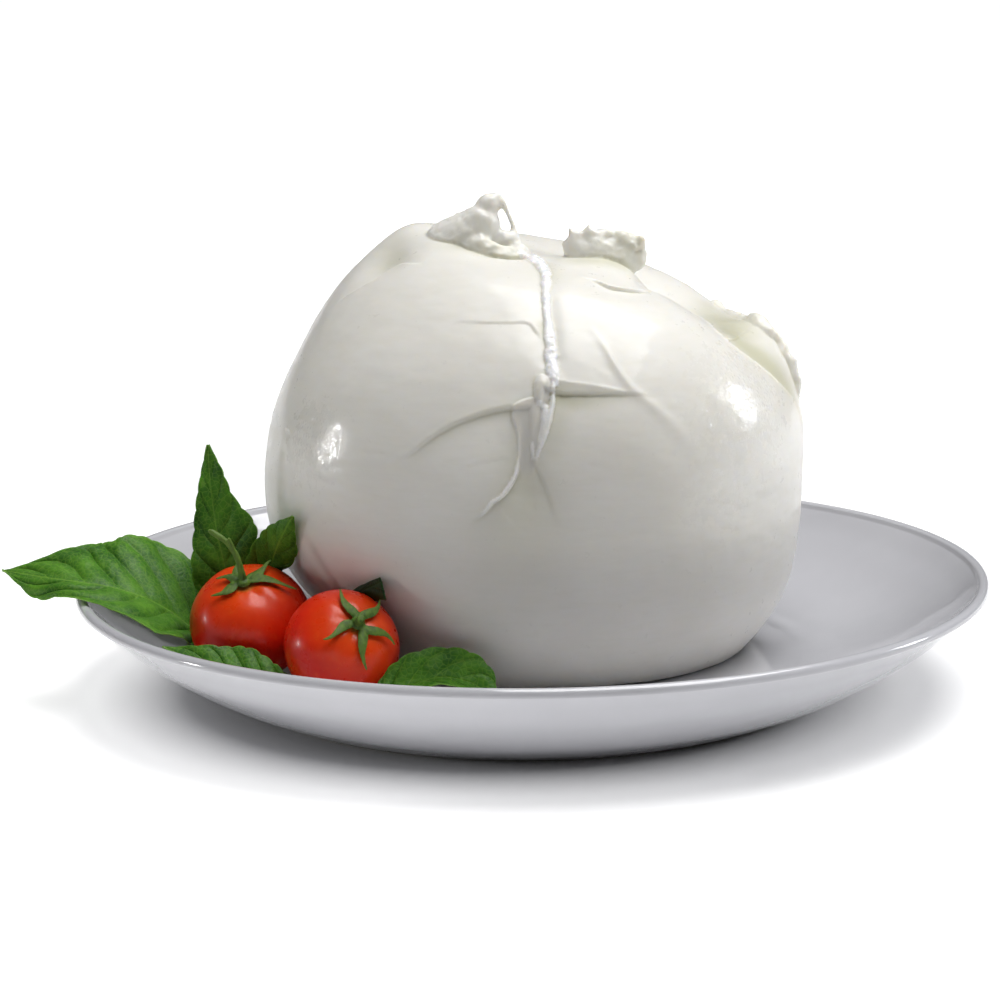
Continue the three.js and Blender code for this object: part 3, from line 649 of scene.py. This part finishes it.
def tomato_axes(shape):
    tilt, turn = math.radians(shape["tilt"]), math.radians(shape["turn"])
    stem = Vector((0, -math.sin(tilt), math.cos(tilt)))
    stem.rotate(Matrix.Rotation(turn, 3, "Z"))
    right = Vector((0, 0, 1)).cross(stem).normalized()
    return np.array(stem), np.array(right), np.array(stem.cross(right))


def on_tomato(shape, angle, around, lift=0.0):
    stem, right, forward = tomato_axes(shape)
    dimple = 0.1 * bell(angle, 0.32)
    ribs = 0.014 * np.cos(5 * around + 1) * bell(angle - 0.55, 0.45) * ease(angle, 0, 0.4)
    ribs = ribs + 0.006 * np.cos(8 * around + 2) * bell(angle - 0.4, 0.3) * ease(angle, 0, 0.3)
    scale = shape["radius"] * (1 - dimple + ribs) + lift
    return (
        np.array(shape["centre"])
        + np.multiply.outer(scale * TOMATO_SQUASH * np.cos(angle), stem)
        + np.multiply.outer(scale * np.sin(angle) * np.cos(around), right)
        + np.multiply.outer(scale * np.sin(angle) * np.sin(around), forward)
    )


def tomato(side):
    shape = TOMATOES[side]
    down = np.linspace(0.012, np.pi - 0.012, 120)
    angle, around = np.meshgrid(down, np.linspace(0, 2 * np.pi, 200, endpoint=False), indexing="ij")
    rings = on_tomato(shape, angle, around)
    ends = [on_tomato(shape, np.array(a), np.array(0.0)) for a in (0.0, np.pi)]
    points, faces = capped(rings, ends[0], ends[1], flip=True)
    field = np.concatenate([angle.ravel(), [0, np.pi]])
    return make(f"tomato_{side}_skin", points, faces, {"from_stem": field})


def sepal(shape, around, reach, curl, width=1.0):
    """A keeled, tapering sepal that lies off the skin and lifts at its tip."""
    steps, sides = 40, 14
    share = np.linspace(0, 1, steps)[:, None]
    turn = np.linspace(0, 2 * np.pi, sides, endpoint=False)[None]
    angle = 0.1 + (reach - 0.1) * share
    half = width * (0.088 * (1 - share) ** 0.65 * (0.75 + 0.5 * np.sin(np.pi * np.minimum(share * 1.5, 1))) + 0.012)
    sway = 0.05 * np.sin(share * 5 + around * 3)
    offset = (half * np.cos(turn) + sway) / np.maximum(np.sin(angle), 0.16)
    thick = 0.26 * (1 - 0.55 * share)
    arch = 0.35 * (1 - np.cos(turn) ** 2) * (1 - share)
    lift = 1.0 + thick * np.sin(turn) + arch + curl * share**2
    rings = on_tomato(shape, angle + 0 * turn, around + offset, lift)
    return capped(rings, rings[0].mean(0), rings[-1].mean(0), flip=True)


# Each sepal: its way round the stem in degrees, how far it reaches down in radians, lift of its tip and width.
CALYXES = {
    "left": {
        "sepals": [(8, 0.85, 0.9, 1), (52, 0.6, 1.3, 1), (115, 0.5, 0.9, 1), (166, 0.45, 0.7, 1.1),
                   (216, 0.55, 0.5, 1.1)],
        "stalks": [
            ([[0, 0, 0.2], [-0.5, 0, 2.6], [-1.3, 0, 5.8], [-2.7, 0.1, 8.4], [-4.5, 0.3, 10.3], [-8, 1, 12.4]],
             [1.15, 0.82, 0.72, 0.66, 0.66, 0.85]),
            ([[-1.4, 0, 6], [-2.3, -0.2, 8.2], [-3.2, -0.5, 10.8]], [0.66, 0.5, 0.48]),
        ],
    },
    "right": {
        "sepals": [(98, 0.72, 0.8, 1), (34, 0.7, 0.7, 1), (-36, 0.72, 0.7, 1), (-92, 0.8, 0.4, 1),
                   (192, 0.66, 0.8, 1)],
        "stalks": [([[0, 0, -0.2], [0.5, -1.2, 1], [0.9, -2.1, 1.7]], [1.2, 1.05, 0.95])],
    },
}


def calyx(side):
    shape, form = TOMATOES[side], CALYXES[side]
    hub = on_tomato(shape, np.array(0.0), np.array(0.0), 1.15)
    stem, right, forward = tomato_axes(shape)
    parts = [sepal(shape, math.radians(a), reach, curl, width) for a, reach, curl, width in form["sepals"]]
    boss = [hub - stem * 0.35, hub + stem * 0.3, hub + stem * 0.9]
    parts.append(tube(boss, [1.8, 1.6, 1.1], hub + right * 90, 24, 24))
    for route, radii in form["stalks"]:
        points = np.array(route) + hub
        parts.append(tube(points, radii, hub + [0, 90, 0], 20, 80, 1, 0.07, 1.2, 5))
    rough_form = make(f"calyx_{side}_parts", *gathered(parts))
    points, faces = remade(rough_form, 0.16, 2)
    tip = np.linalg.norm(points - hub, axis=1)
    return make(f"calyx_{side}_green", points, faces, {"from_hub": tip})


# ---- Basil ----

# left and right are half widths along the spine, and cups how far each half bends up, in degrees.
LEAVES = {
    "leaf_rim": {
        "spine": [[-75, -2, 10.8], [-81.9, -7, 16.1], [-87.4, -11, 21.8], [-93.7, -14, 26.1], [-100.5, -16, 28.9],
                  [-108.5, -16, 30.4], [-117.4, -13, 31.1], [-126.8, -9, 31.9]],
        "left": [0.8, 8, 16, 20.5, 15, 7.8, 5.2, 0.2],
        "right": [0.8, 17, 23.5, 22.5, 20, 18.4, 11.6, 0.2],
        "face": [0, -0.42, 0.9],
        "cups": [[0, 5, 14, 16, 21, 8, -20, -10], [10, 19, 8, 3, -3, -6, -4, 0]],
        "wave": 0.7, "waves": 3, "veins": 6.5, "sweep": 0.3, "quilt": 1.15, "teeth": 13,
    },
    "leaf_tall": {
        "spine": [[-70, -6, 10], [-72, -6, 20], [-73.8, -5.5, 31.2], [-75.6, -4, 39.3], [-76.7, -2, 47],
                  [-77.4, 0, 54], [-77.6, 1, 60]],
        "left": [0.8, 6.5, 8, 6, 3.8, 2, 0.2],
        "right": [0.8, 3, 8, 10, 5.4, 3.2, 0.2],
        "face": [-0.1, -1, 0.1],
        "cups": [[8, 8], [8, 8]],
        "wave": 0.6, "waves": 3, "veins": 7, "sweep": 0.2, "quilt": 0.45, "teeth": 11,
    },
    "leaf_folded": {
        "spine": [[-65.3, -1, 10], [-64.2, -6, 23], [-62.7, -10.5, 31], [-60.5, -19, 38.2], [-58.1, -25, 43.9],
                  [-55.9, -28.5, 48.2]],
        "left": [0.8, 4.4, 6.6, 5.7, 3.1, 0.2],
        "right": [0.8, 1.6, 1.8, 4.9, 3.1, 0.2],
        "face": [-0.6, -0.8, 0],
        "cups": [[-20, 9, 17, 0, -6, -6], [-3, -7, 0, -20, -35, -35]],
        "wave": 0.3, "waves": 3, "veins": 6, "sweep": 0.2, "quilt": 0.3, "teeth": 9,
    },
    "leaf_dark": {
        "spine": [[-50, -24, 10], [-50.5, -26, 19], [-49.5, -27.5, 25], [-46.5, -29.8, 28.4], [-43.2, -32.4, 29.6],
                  [-39.6, -36.2, 32], [-35, -41.8, 35.4]],
        "left": [0.8, 1.5, 1.5, 1, 1, 1.4, 1.2],
        "right": [0.8, 1.5, 1.5, 1, 1.2, 2.4, 4.2],
        "face": [-0.7, -0.7, 0.1],
        "cups": [[0, 0], [0, 0]],
        "wave": 0.1, "waves": 3, "veins": 6, "sweep": 0.2, "quilt": 0.1, "teeth": 9,
    },
    "leaf_front": {
        "spine": [[-53, -48, 10.4], [-61, -47.5, 12], [-69, -45.5, 14.4], [-76, -43.5, 16.6], [-86, -38.6, 20]],
        "left": [0.8, 3.2, 4.2, 3.6, 0.2],
        "right": [0.8, 6.4, 8, 5.8, 0.2],
        "face": [0, -0.62, 0.78],
        "cups": [[38, 38], [6, 6]],
        "wave": 0.4, "waves": 3, "veins": 6, "sweep": 0.25, "quilt": 0.35, "teeth": 9,
    },
    "leaf_right": {
        "spine": [[-35, -54.5, 9.4], [-31, -51.5, 12], [-22, -50.5, 14.8], [-14, -52, 13.5], [-9, -54.5, 9.8]],
        "left": [0.8, 6, 7.4, 6, 0.2],
        "right": [0.8, 4, 5, 4, 0.2],
        "face": [0, -0.8, 0.6],
        "cups": [[4, 4], [50, 50]],
        "wave": 0.4, "waves": 3, "veins": 6, "sweep": 0.25, "quilt": 0.35, "teeth": 9,
    },
}


def leaf_sheet(form, share, across):
    """Points of a leaf's middle sheet, the way it faces, and its vein and quilt fields."""
    spine = np.array(form["spine"], float)
    points, along = through(spine, share), run_of(spine, share)
    side = unit(np.cross(np.array(form["face"], float), along))
    normal = np.cross(along, side)
    leftward = across > 0
    reach = np.where(leftward, through(form["left"], share), through(form["right"], share))
    length = np.linalg.norm(np.diff(spine, axis=0), axis=1).sum()
    tooth = np.abs(np.sin(share * form["teeth"] * np.pi + np.where(leftward, 0.4, 1.1))) ** 0.7 - 0.6
    out = np.abs(across)
    half = np.maximum(reach, 0.15) * out + np.minimum(reach * 0.1, 0.55) * tooth * out**8
    bend = np.radians(np.where(leftward, through(form["cups"][0], share), through(form["cups"][1], share)))
    bend = bend * (0.6 + 0.4 * out)
    ripple = form["wave"] * across**2 * np.sin(share * form["waves"] * 2 * np.pi + across * 1.3)
    count = (share - form["sweep"] * out ** 1.15) * form["veins"] + np.where(leftward, 0.15, 0.6)
    between = np.abs(np.sin(np.pi * count))
    from_vein = np.abs(count - np.round(count)) * length / form["veins"]
    from_midrib = reach * out
    body = ease(from_midrib, 0.3, 2.5) * (1 - ease(out, 0.82, 1)) * np.minimum(reach / 6, 1)
    puff = form["quilt"] * (between**0.7 - 0.6) * body
    side_vein = bell(from_vein, 0.32) * (1 - ease(out, 0.8, 0.98)) * 0.8
    vein = np.maximum(side_vein, bell(from_midrib, 0.45 - 0.2 * share))
    puff = puff - 0.14 * vein
    grain = noise(np.stack([share * length, across * 12, 0 * share], -1), 1.4, 5) * 0.06 * body
    placed = (
        points
        + side * (np.where(leftward, 1, -1) * half * np.cos(bend))[..., None]
        + normal * (half * np.sin(bend) + ripple + puff + grain)[..., None]
    )
    return placed, vein, between


def leaf(name):
    form = LEAVES[name]
    rows, columns = 150, 97
    share, across = np.meshgrid(np.linspace(0, 1, rows), np.linspace(-1, 1, columns), indexing="ij")
    middle, vein, between = leaf_sheet(form, share, across)
    run, out = np.gradient(middle, axis=0), np.gradient(middle, axis=1)
    normal = unit(np.cross(run, out))
    thick = 0.24 * (1 - 0.5 * np.abs(across) ** 6) + 0.22 * bell(across * 9, 1.0) * (1 - share)
    upper, lower = middle + normal * thick[..., None], middle - normal * thick[..., None]
    points = np.concatenate([upper.reshape(-1, 3), lower.reshape(-1, 3)])
    size = rows * columns
    faces = [*grid_faces(rows, columns, False, 0, True), *grid_faces(rows, columns, False, size)]
    index = np.arange(size).reshape(rows, columns)
    border = np.concatenate([index[0, :-1], index[:-1, -1], index[-1, :0:-1], index[:0:-1, 0]])
    after = np.roll(border, -1)
    faces += [(a, b, b + size, a + size) for a, b in zip(border, after)]
    under = np.repeat([0.0, 1.0], size)
    fields = {"vein": np.tile(vein.ravel(), 2), "between": np.tile(between.ravel(), 2), "under": under,
              "edge": np.tile(np.abs(across).ravel(), 2)}
    return make(f"{name}_blade", points, faces, fields)


# ---- Materials ----


class Paint:
    """A node material with short names for what the finishes here need."""

    def __init__(self, name):
        self.material = bpy.data.materials.new(name)
        self.material.use_nodes = True
        self.tree = self.material.node_tree
        self.tree.nodes.clear()
        self.shader = self.add("ShaderNodeBsdfPrincipled")
        output = self.add("ShaderNodeOutputMaterial")
        self.link(self.shader.outputs[0], output.inputs["Surface"])
        self.place = self.add("ShaderNodeTexCoord").outputs["Object"]

    def add(self, kind, **settings):
        node = self.tree.nodes.new(kind)
        for key, value in settings.items():
            setattr(node, key, value)
        return node

    def link(self, source, socket):
        self.tree.links.new(source, socket)

    def set(self, **values):
        for key, value in values.items():
            self.shader.inputs[key.replace("_", " ")].default_value = value

    def field(self, name):
        return self.add("ShaderNodeAttribute", attribute_name=name).outputs["Fac"]

    def noise(self, size_mm, detail=4.0, rough=0.55, stretch=(1, 1, 1)):
        mapping = self.add("ShaderNodeMapping")
        mapping.inputs["Scale"].default_value = stretch
        self.link(self.place, mapping.inputs["Vector"])
        node = self.add("ShaderNodeTexNoise")
        node.inputs["Scale"].default_value = 1 / (size_mm * MM)
        node.inputs["Detail"].default_value = detail
        node.inputs["Roughness"].default_value = rough
        self.link(mapping.outputs[0], node.inputs["Vector"])
        return node.outputs["Fac"]

    def cells(self, size_mm, feature="F1"):
        node = self.add("ShaderNodeTexVoronoi", feature=feature)
        node.inputs["Scale"].default_value = 1 / (size_mm * MM)
        self.link(self.place, node.inputs["Vector"])
        return node.outputs["Distance"]

    def spread(self, value, low, high, to_low=0.0, to_high=1.0):
        node = self.add("ShaderNodeMapRange", clamp=True)
        self.link(value, node.inputs["Value"])
        for key, number in {"From Min": low, "From Max": high, "To Min": to_low, "To Max": to_high}.items():
            node.inputs[key].default_value = number
        return node.outputs["Result"]

    def mix(self, share, first, second):
        node = self.add("ShaderNodeMix", data_type="RGBA")
        for value, socket in ((share, node.inputs[0]), (first, node.inputs[6]), (second, node.inputs[7])):
            if isinstance(value, bpy.types.NodeSocket):
                self.link(value, socket)
            else:
                socket.default_value = value if isinstance(value, float) else (*value, 1)
        return node.outputs[2]

    def maths(self, operation, first, second):
        node = self.add("ShaderNodeMath", operation=operation)
        for value, socket in ((first, node.inputs[0]), (second, node.inputs[1])):
            if isinstance(value, bpy.types.NodeSocket):
                self.link(value, socket)
            else:
                socket.default_value = value
        return node.outputs[0]

    def bump(self, height, depth_mm, strength=1.0, under=None):
        node = self.add("ShaderNodeBump")
        node.inputs["Distance"].default_value = depth_mm * MM
        node.inputs["Strength"].default_value = strength
        self.link(height, node.inputs["Height"])
        if under:
            self.link(under, node.inputs["Normal"])
        return node.outputs[0]

    def finish(self, color, roughness=None, normal=None):
        for value, socket in ((color, "Base Color"), (roughness, "Roughness"), (normal, "Normal")):
            if value:
                self.link(value, self.shader.inputs[socket])
        return self.material


def cheese_paint():
    paint = Paint("mozzarella")
    patch = paint.spread(paint.noise(26, 3), 0.35, 0.68)
    fibre = paint.noise(2.2, 5, 0.6, (0.3, 0.3, 1.7))
    skin_white = paint.mix(patch, (0.79, 0.775, 0.73), (0.755, 0.735, 0.68))
    skin_white = paint.mix(paint.spread(fibre, 0.45, 0.8, 0.0, 0.3), skin_white, (0.70, 0.685, 0.60))
    # painted shade: hollows and creases darkened towards olive grey
    hollow = paint.spread(paint.field("hollow"), 0.02, 0.3, 0.0, 0.5)
    skin_white = paint.mix(hollow, skin_white, (0.60, 0.585, 0.45))
    # the first tint is painted olive shade in creases and undersides; torn curd, the grey sheet and the white
    # strands are tints of their own
    for name, most, tint in (("olive_shade", 0.9, (0.53, 0.52, 0.38)), ("torn", 0.5, (0.80, 0.79, 0.75)),
                             ("sheet", 0.8, (0.64, 0.62, 0.575)), ("white", 0.9, (0.88, 0.88, 0.89))):
        skin_white = paint.mix(paint.spread(paint.field(name), 0, 1, 0.0, most), skin_white, tint)
    ripple = paint.bump(paint.noise(9, 2), 0.5, 0.3)
    crinkle = paint.maths("MULTIPLY", paint.noise(1.3, 2, 0.6), paint.field("white"))
    normal = paint.bump(crinkle, 0.4, 0.5, ripple)
    wet = paint.field("wet")
    beads = paint.maths("ADD", paint.noise(2.2, 3, 0.7), paint.spread(paint.cells(1.1), 0.5, 0.15))
    beads = paint.maths("MULTIPLY", beads, paint.spread(wet, 0.35, 0.9))
    paint.link(paint.bump(beads, 0.26, 0.8, normal), paint.shader.inputs["Coat Normal"])
    paint.link(paint.spread(wet, 0, 1, 0.12, 0.9), paint.shader.inputs["Coat Weight"])
    roughness = paint.spread(paint.noise(3.2, 4, 0.7), 0.3, 0.7, 0.26, 0.42)
    roughness = paint.maths("SUBTRACT", roughness, paint.spread(paint.field("white"), 0.2, 0.9, 0.0, 0.12))
    roughness = paint.maths("SUBTRACT", roughness, paint.spread(wet, 0.1, 0.8, 0.0, 0.1))
    paint.set(Subsurface_Weight=0.5, Subsurface_Radius=(1.0, 0.85, 0.6), Subsurface_Scale=0.0026, IOR=1.4,
              Coat_Roughness=0.05)
    return paint.finish(skin_white, roughness, normal)


def glaze_paint():
    paint = Paint("white_glaze")
    cloud = paint.spread(paint.noise(38, 3), 0.3, 0.7)
    glaze = paint.mix(cloud, (0.54, 0.54, 0.57), (0.50, 0.50, 0.53))
    specks = paint.spread(paint.noise(0.55, 2, 0.5), 0.72, 0.8, 0.0, 0.25)
    glaze = paint.mix(specks, glaze, (0.36, 0.35, 0.33))
    height = paint.add("ShaderNodeSeparateXYZ")
    paint.link(paint.place, height.inputs[0])
    # the foot ring stands on bare clay
    bare_top, bare_full = 0.45 * MM, 0.2 * MM
    bare = paint.spread(height.outputs["Z"], bare_top, bare_full)
    glaze = paint.mix(bare, glaze, (0.62, 0.58, 0.52))
    shiny = paint.spread(paint.noise(9, 3), 0.3, 0.7, 0.06, 0.14)
    roughness = paint.maths("ADD", shiny, paint.spread(height.outputs["Z"], bare_top, bare_full, 0.0, 0.55))
    waves = paint.bump(paint.noise(16, 2), 0.35, 0.25)
    normal = paint.bump(paint.noise(1.1, 2), 0.02, 0.25, waves)
    paint.set(IOR=1.52, Coat_Weight=0.3, Coat_Roughness=0.04)
    return paint.finish(glaze, roughness, normal)


def tomato_paint():
    paint = Paint("tomato_skin")
    stem = paint.field("from_stem")
    blush = paint.spread(paint.noise(9, 3), 0.3, 0.7)
    red = paint.mix(blush, (0.70, 0.010, 0.003), (0.78, 0.022, 0.004))
    # painted light: the upper part round the stem is mixed towards orange, as if lit from above
    red = paint.mix(paint.spread(stem, 1.15, 0.3, 0.0, 0.8), red, (0.82, 0.085, 0.006))
    streak = paint.spread(paint.noise(2.2, 4, 0.6), 0.55, 0.75, 0.0, 0.3)
    red = paint.mix(streak, red, (0.84, 0.10, 0.008))
    dots = paint.spread(paint.cells(1.0), 0.16, 0.05, 0.0, 0.25)
    red = paint.mix(dots, red, (0.82, 0.22, 0.04))
    red = paint.mix(paint.spread(stem, 0.22, 0.1, 0.0, 0.8), red, (0.30, 0.22, 0.04))
    normal = paint.bump(paint.noise(6, 2), 0.3, 0.25)
    roughness = paint.spread(paint.noise(3, 3), 0.3, 0.7, 0.24, 0.38)
    paint.set(Subsurface_Weight=0.3, Subsurface_Radius=(1.0, 0.2, 0.08), Subsurface_Scale=0.0025, IOR=1.36,
              Coat_Weight=0.12, Coat_Roughness=0.12)
    return paint.finish(red, roughness, normal)


def calyx_paint():
    paint = Paint("tomato_stalk")
    stripe = paint.noise(0.9, 4, 0.6, (1, 1, 0.4))
    green = paint.mix(paint.spread(stripe, 0.35, 0.7), (0.035, 0.085, 0.012), (0.13, 0.24, 0.03))
    green = paint.mix(paint.spread(paint.field("from_hub"), 1.5, 8, 0.0, 0.5), green, (0.16, 0.25, 0.045))
    normal = paint.bump(paint.noise(0.4, 3), 0.12, 0.5, paint.bump(stripe, 0.25, 0.5))
    roughness = paint.spread(stripe, 0.3, 0.7, 0.42, 0.62)
    paint.set(Subsurface_Weight=0.1, Subsurface_Radius=(0.5, 1.0, 0.2), Subsurface_Scale=0.0006, IOR=1.35)
    return paint.finish(green, roughness, normal)


def leaf_paint(name, dark, light, vein_green, under_green):
    paint = Paint(name)
    mottle = paint.spread(paint.noise(7, 4, 0.6), 0.32, 0.68)
    green = paint.mix(mottle, dark, light)
    # painted shade: darker in the valleys along the side veins
    green = paint.mix(paint.spread(paint.field("between"), 0.9, 0.1, 0.0, 0.4), green, dark)
    net = paint.cells(1.3, "DISTANCE_TO_EDGE")
    green = paint.mix(paint.spread(net, 0.1, 0.02, 0.0, 0.3), green, vein_green)
    green = paint.mix(paint.spread(paint.field("vein"), 0.25, 0.95, 0.0, 0.6), green, vein_green)
    green = paint.mix(paint.spread(paint.field("edge"), 0.95, 1.0, 0.0, 0.35), green, vein_green)
    pale = paint.mix(paint.spread(paint.field("vein"), 0.2, 0.9), under_green, vein_green)
    green = paint.mix(paint.field("under"), green, pale)
    blister = paint.bump(net, 0.25, 0.5, paint.bump(paint.noise(3, 3), 0.4, 0.4))
    normal = paint.bump(paint.noise(0.5, 3), 0.06, 0.5, blister)
    roughness = paint.spread(paint.noise(2.4, 3), 0.3, 0.7, 0.42, 0.6)
    paint.set(Subsurface_Weight=0.3, Subsurface_Radius=(0.45, 1.0, 0.12), Subsurface_Scale=0.0009, IOR=1.3)
    return paint.finish(green, roughness, normal)


# ---- The pieces ----


def stand(thing, node, material):
    thing.data.materials.append(material)
    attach(thing, "root")
    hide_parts(node)


stand(plate(), "plate", glaze_paint())
stand(cheese(), "cheese", cheese_paint())
red_skin, stalk_green = tomato_paint(), calyx_paint()
for side in TOMATOES:
    stand(tomato(side), f"tomato_{side}", red_skin)
    stand(calyx(side), f"calyx_{side}", stalk_green)

fresh = leaf_paint("basil_leaf", (0.022, 0.10, 0.006), (0.085, 0.235, 0.016),
                   (0.19, 0.37, 0.045), (0.20, 0.33, 0.09))
# painted shade: a near-black copy of the basil finish for the leaf that lies in shadow by the tomato
shaded = leaf_paint("basil_leaf_painted_shade", (0.006, 0.02, 0.004), (0.014, 0.045, 0.008),
                    (0.03, 0.08, 0.015), (0.02, 0.05, 0.015))
for name in LEAVES:
    dark = name == "leaf_dark"
    stand(leaf(name), name, shaded if dark else fresh)

# ---- Floor, lights and camera ----


def floor():
    """A pale floor that glows round the plate and far off, and is darker well in front of the plate."""
    size = 6000
    corners = [[-size, -size, 0], [size, -size, 0], [size, size, 0], [-size, size, 0]]
    thing = make("floor", corners, [(0, 1, 2, 3)])
    paint = Paint("pale_floor")
    distance = paint.add("ShaderNodeVectorMath", operation="LENGTH")
    paint.link(paint.place, distance.inputs[0])
    place = paint.add("ShaderNodeSeparateXYZ")
    paint.link(paint.place, place.inputs[0])
    ring = paint.maths("MULTIPLY", paint.spread(distance.outputs["Value"], 0.076, 0.098, 0.0, 0.6),
                       paint.spread(distance.outputs["Value"], 0.26, 0.13))
    near = paint.maths("MULTIPLY", ring, paint.spread(place.outputs["X"], 0.06, -0.03, 0.45, 1))
    glow = paint.maths("ADD", near, paint.spread(distance.outputs["Value"], 0.14, 0.9, 0.0, 0.95))
    glow = paint.maths("MULTIPLY", glow, paint.spread(place.outputs["Y"], -0.34, -0.225))
    paint.link(glow, paint.shader.inputs["Emission Strength"])
    shade = paint.mix(paint.spread(paint.noise(60, 2), 0.3, 0.7), (0.86, 0.86, 0.86), (0.84, 0.84, 0.84))
    shade = paint.mix(paint.spread(place.outputs["Y"], -0.23, -0.34), shade, (0.4, 0.4, 0.4))
    paint.set(Emission_Color=(1, 1, 1, 1), Roughness=0.9)
    thing.data.materials.append(paint.finish(shade))


def softbox(name, place, aim, width, height, watts, tint=(1, 1, 1)):
    light = bpy.data.lights.new(name, "AREA")
    light.shape = "RECTANGLE"
    light.size, light.size_y = width, height
    light.energy = watts
    light.color = tint
    lamp = bpy.data.objects.new(name, light)
    lamp.location = place
    lamp.rotation_euler = (Vector(aim) - Vector(place)).to_track_quat("-Z", "Y").to_euler()
    bpy.context.scene.collection.objects.link(lamp)


floor()
softbox("overhead", (0.3, 0.0, 1.14), (0, 0, 0.04), 1.05, 0.8, 18)
softbox("left_strip", (-1.1, -0.06, 0.17), (0, 0, 0.06), 0.08, 0.16, 1.5)
softbox("right_box", (1.05, 0.26, 0.4), (0.03, 0, 0.07), 0.22, 0.3, 2.3, (0.95, 0.97, 1))

world = bpy.data.worlds.new("studio")
world.use_nodes = True
world.node_tree.nodes["Background"].inputs["Color"].default_value = (1, 1, 1, 1)
world.node_tree.nodes["Background"].inputs["Strength"].default_value = 0.06
bpy.context.scene.world = world
bpy.context.scene.view_settings.view_transform = "Standard"

# The camera looks down by 11.76 degrees, and the picture is turned by 0.8 degrees so that its right is higher.
DOWN, TURN = math.radians(11.76), math.radians(-0.8)
AIM_LEFT = 7.43  # of the plate's axis
AIM_HEIGHT = 45.59
EYE_DISTANCE = 800
PICTURE_WIDTH = 1000  # in pixels
FOCAL_LENGTH = 3311.5  # in pixels
SENSOR_WIDTH = 36

ahead = Vector((0, math.cos(DOWN), -math.sin(DOWN)))
right, above = Vector((1, 0, 0)), Vector((0, math.sin(DOWN), math.cos(DOWN)))
eye = Vector(((SLIDE - AIM_LEFT) * MM, 0, AIM_HEIGHT * MM)) - ahead * EYE_DISTANCE * MM
camera_data = bpy.data.cameras.new("camera")
camera_data.sensor_width = SENSOR_WIDTH
camera_data.lens = FOCAL_LENGTH / PICTURE_WIDTH * SENSOR_WIDTH
camera_data.clip_start = 0.05
camera = bpy.data.objects.new("camera", camera_data)
across = right * math.cos(TURN) + above * math.sin(TURN)
upward = above * math.cos(TURN) - right * math.sin(TURN)
rotation = Matrix((across, upward, -ahead)).transposed()
camera.matrix_world = Matrix.Translation(eye) @ rotation.to_4x4()
bpy.context.scene.collection.objects.link(camera)
bpy.context.scene.camera = camera
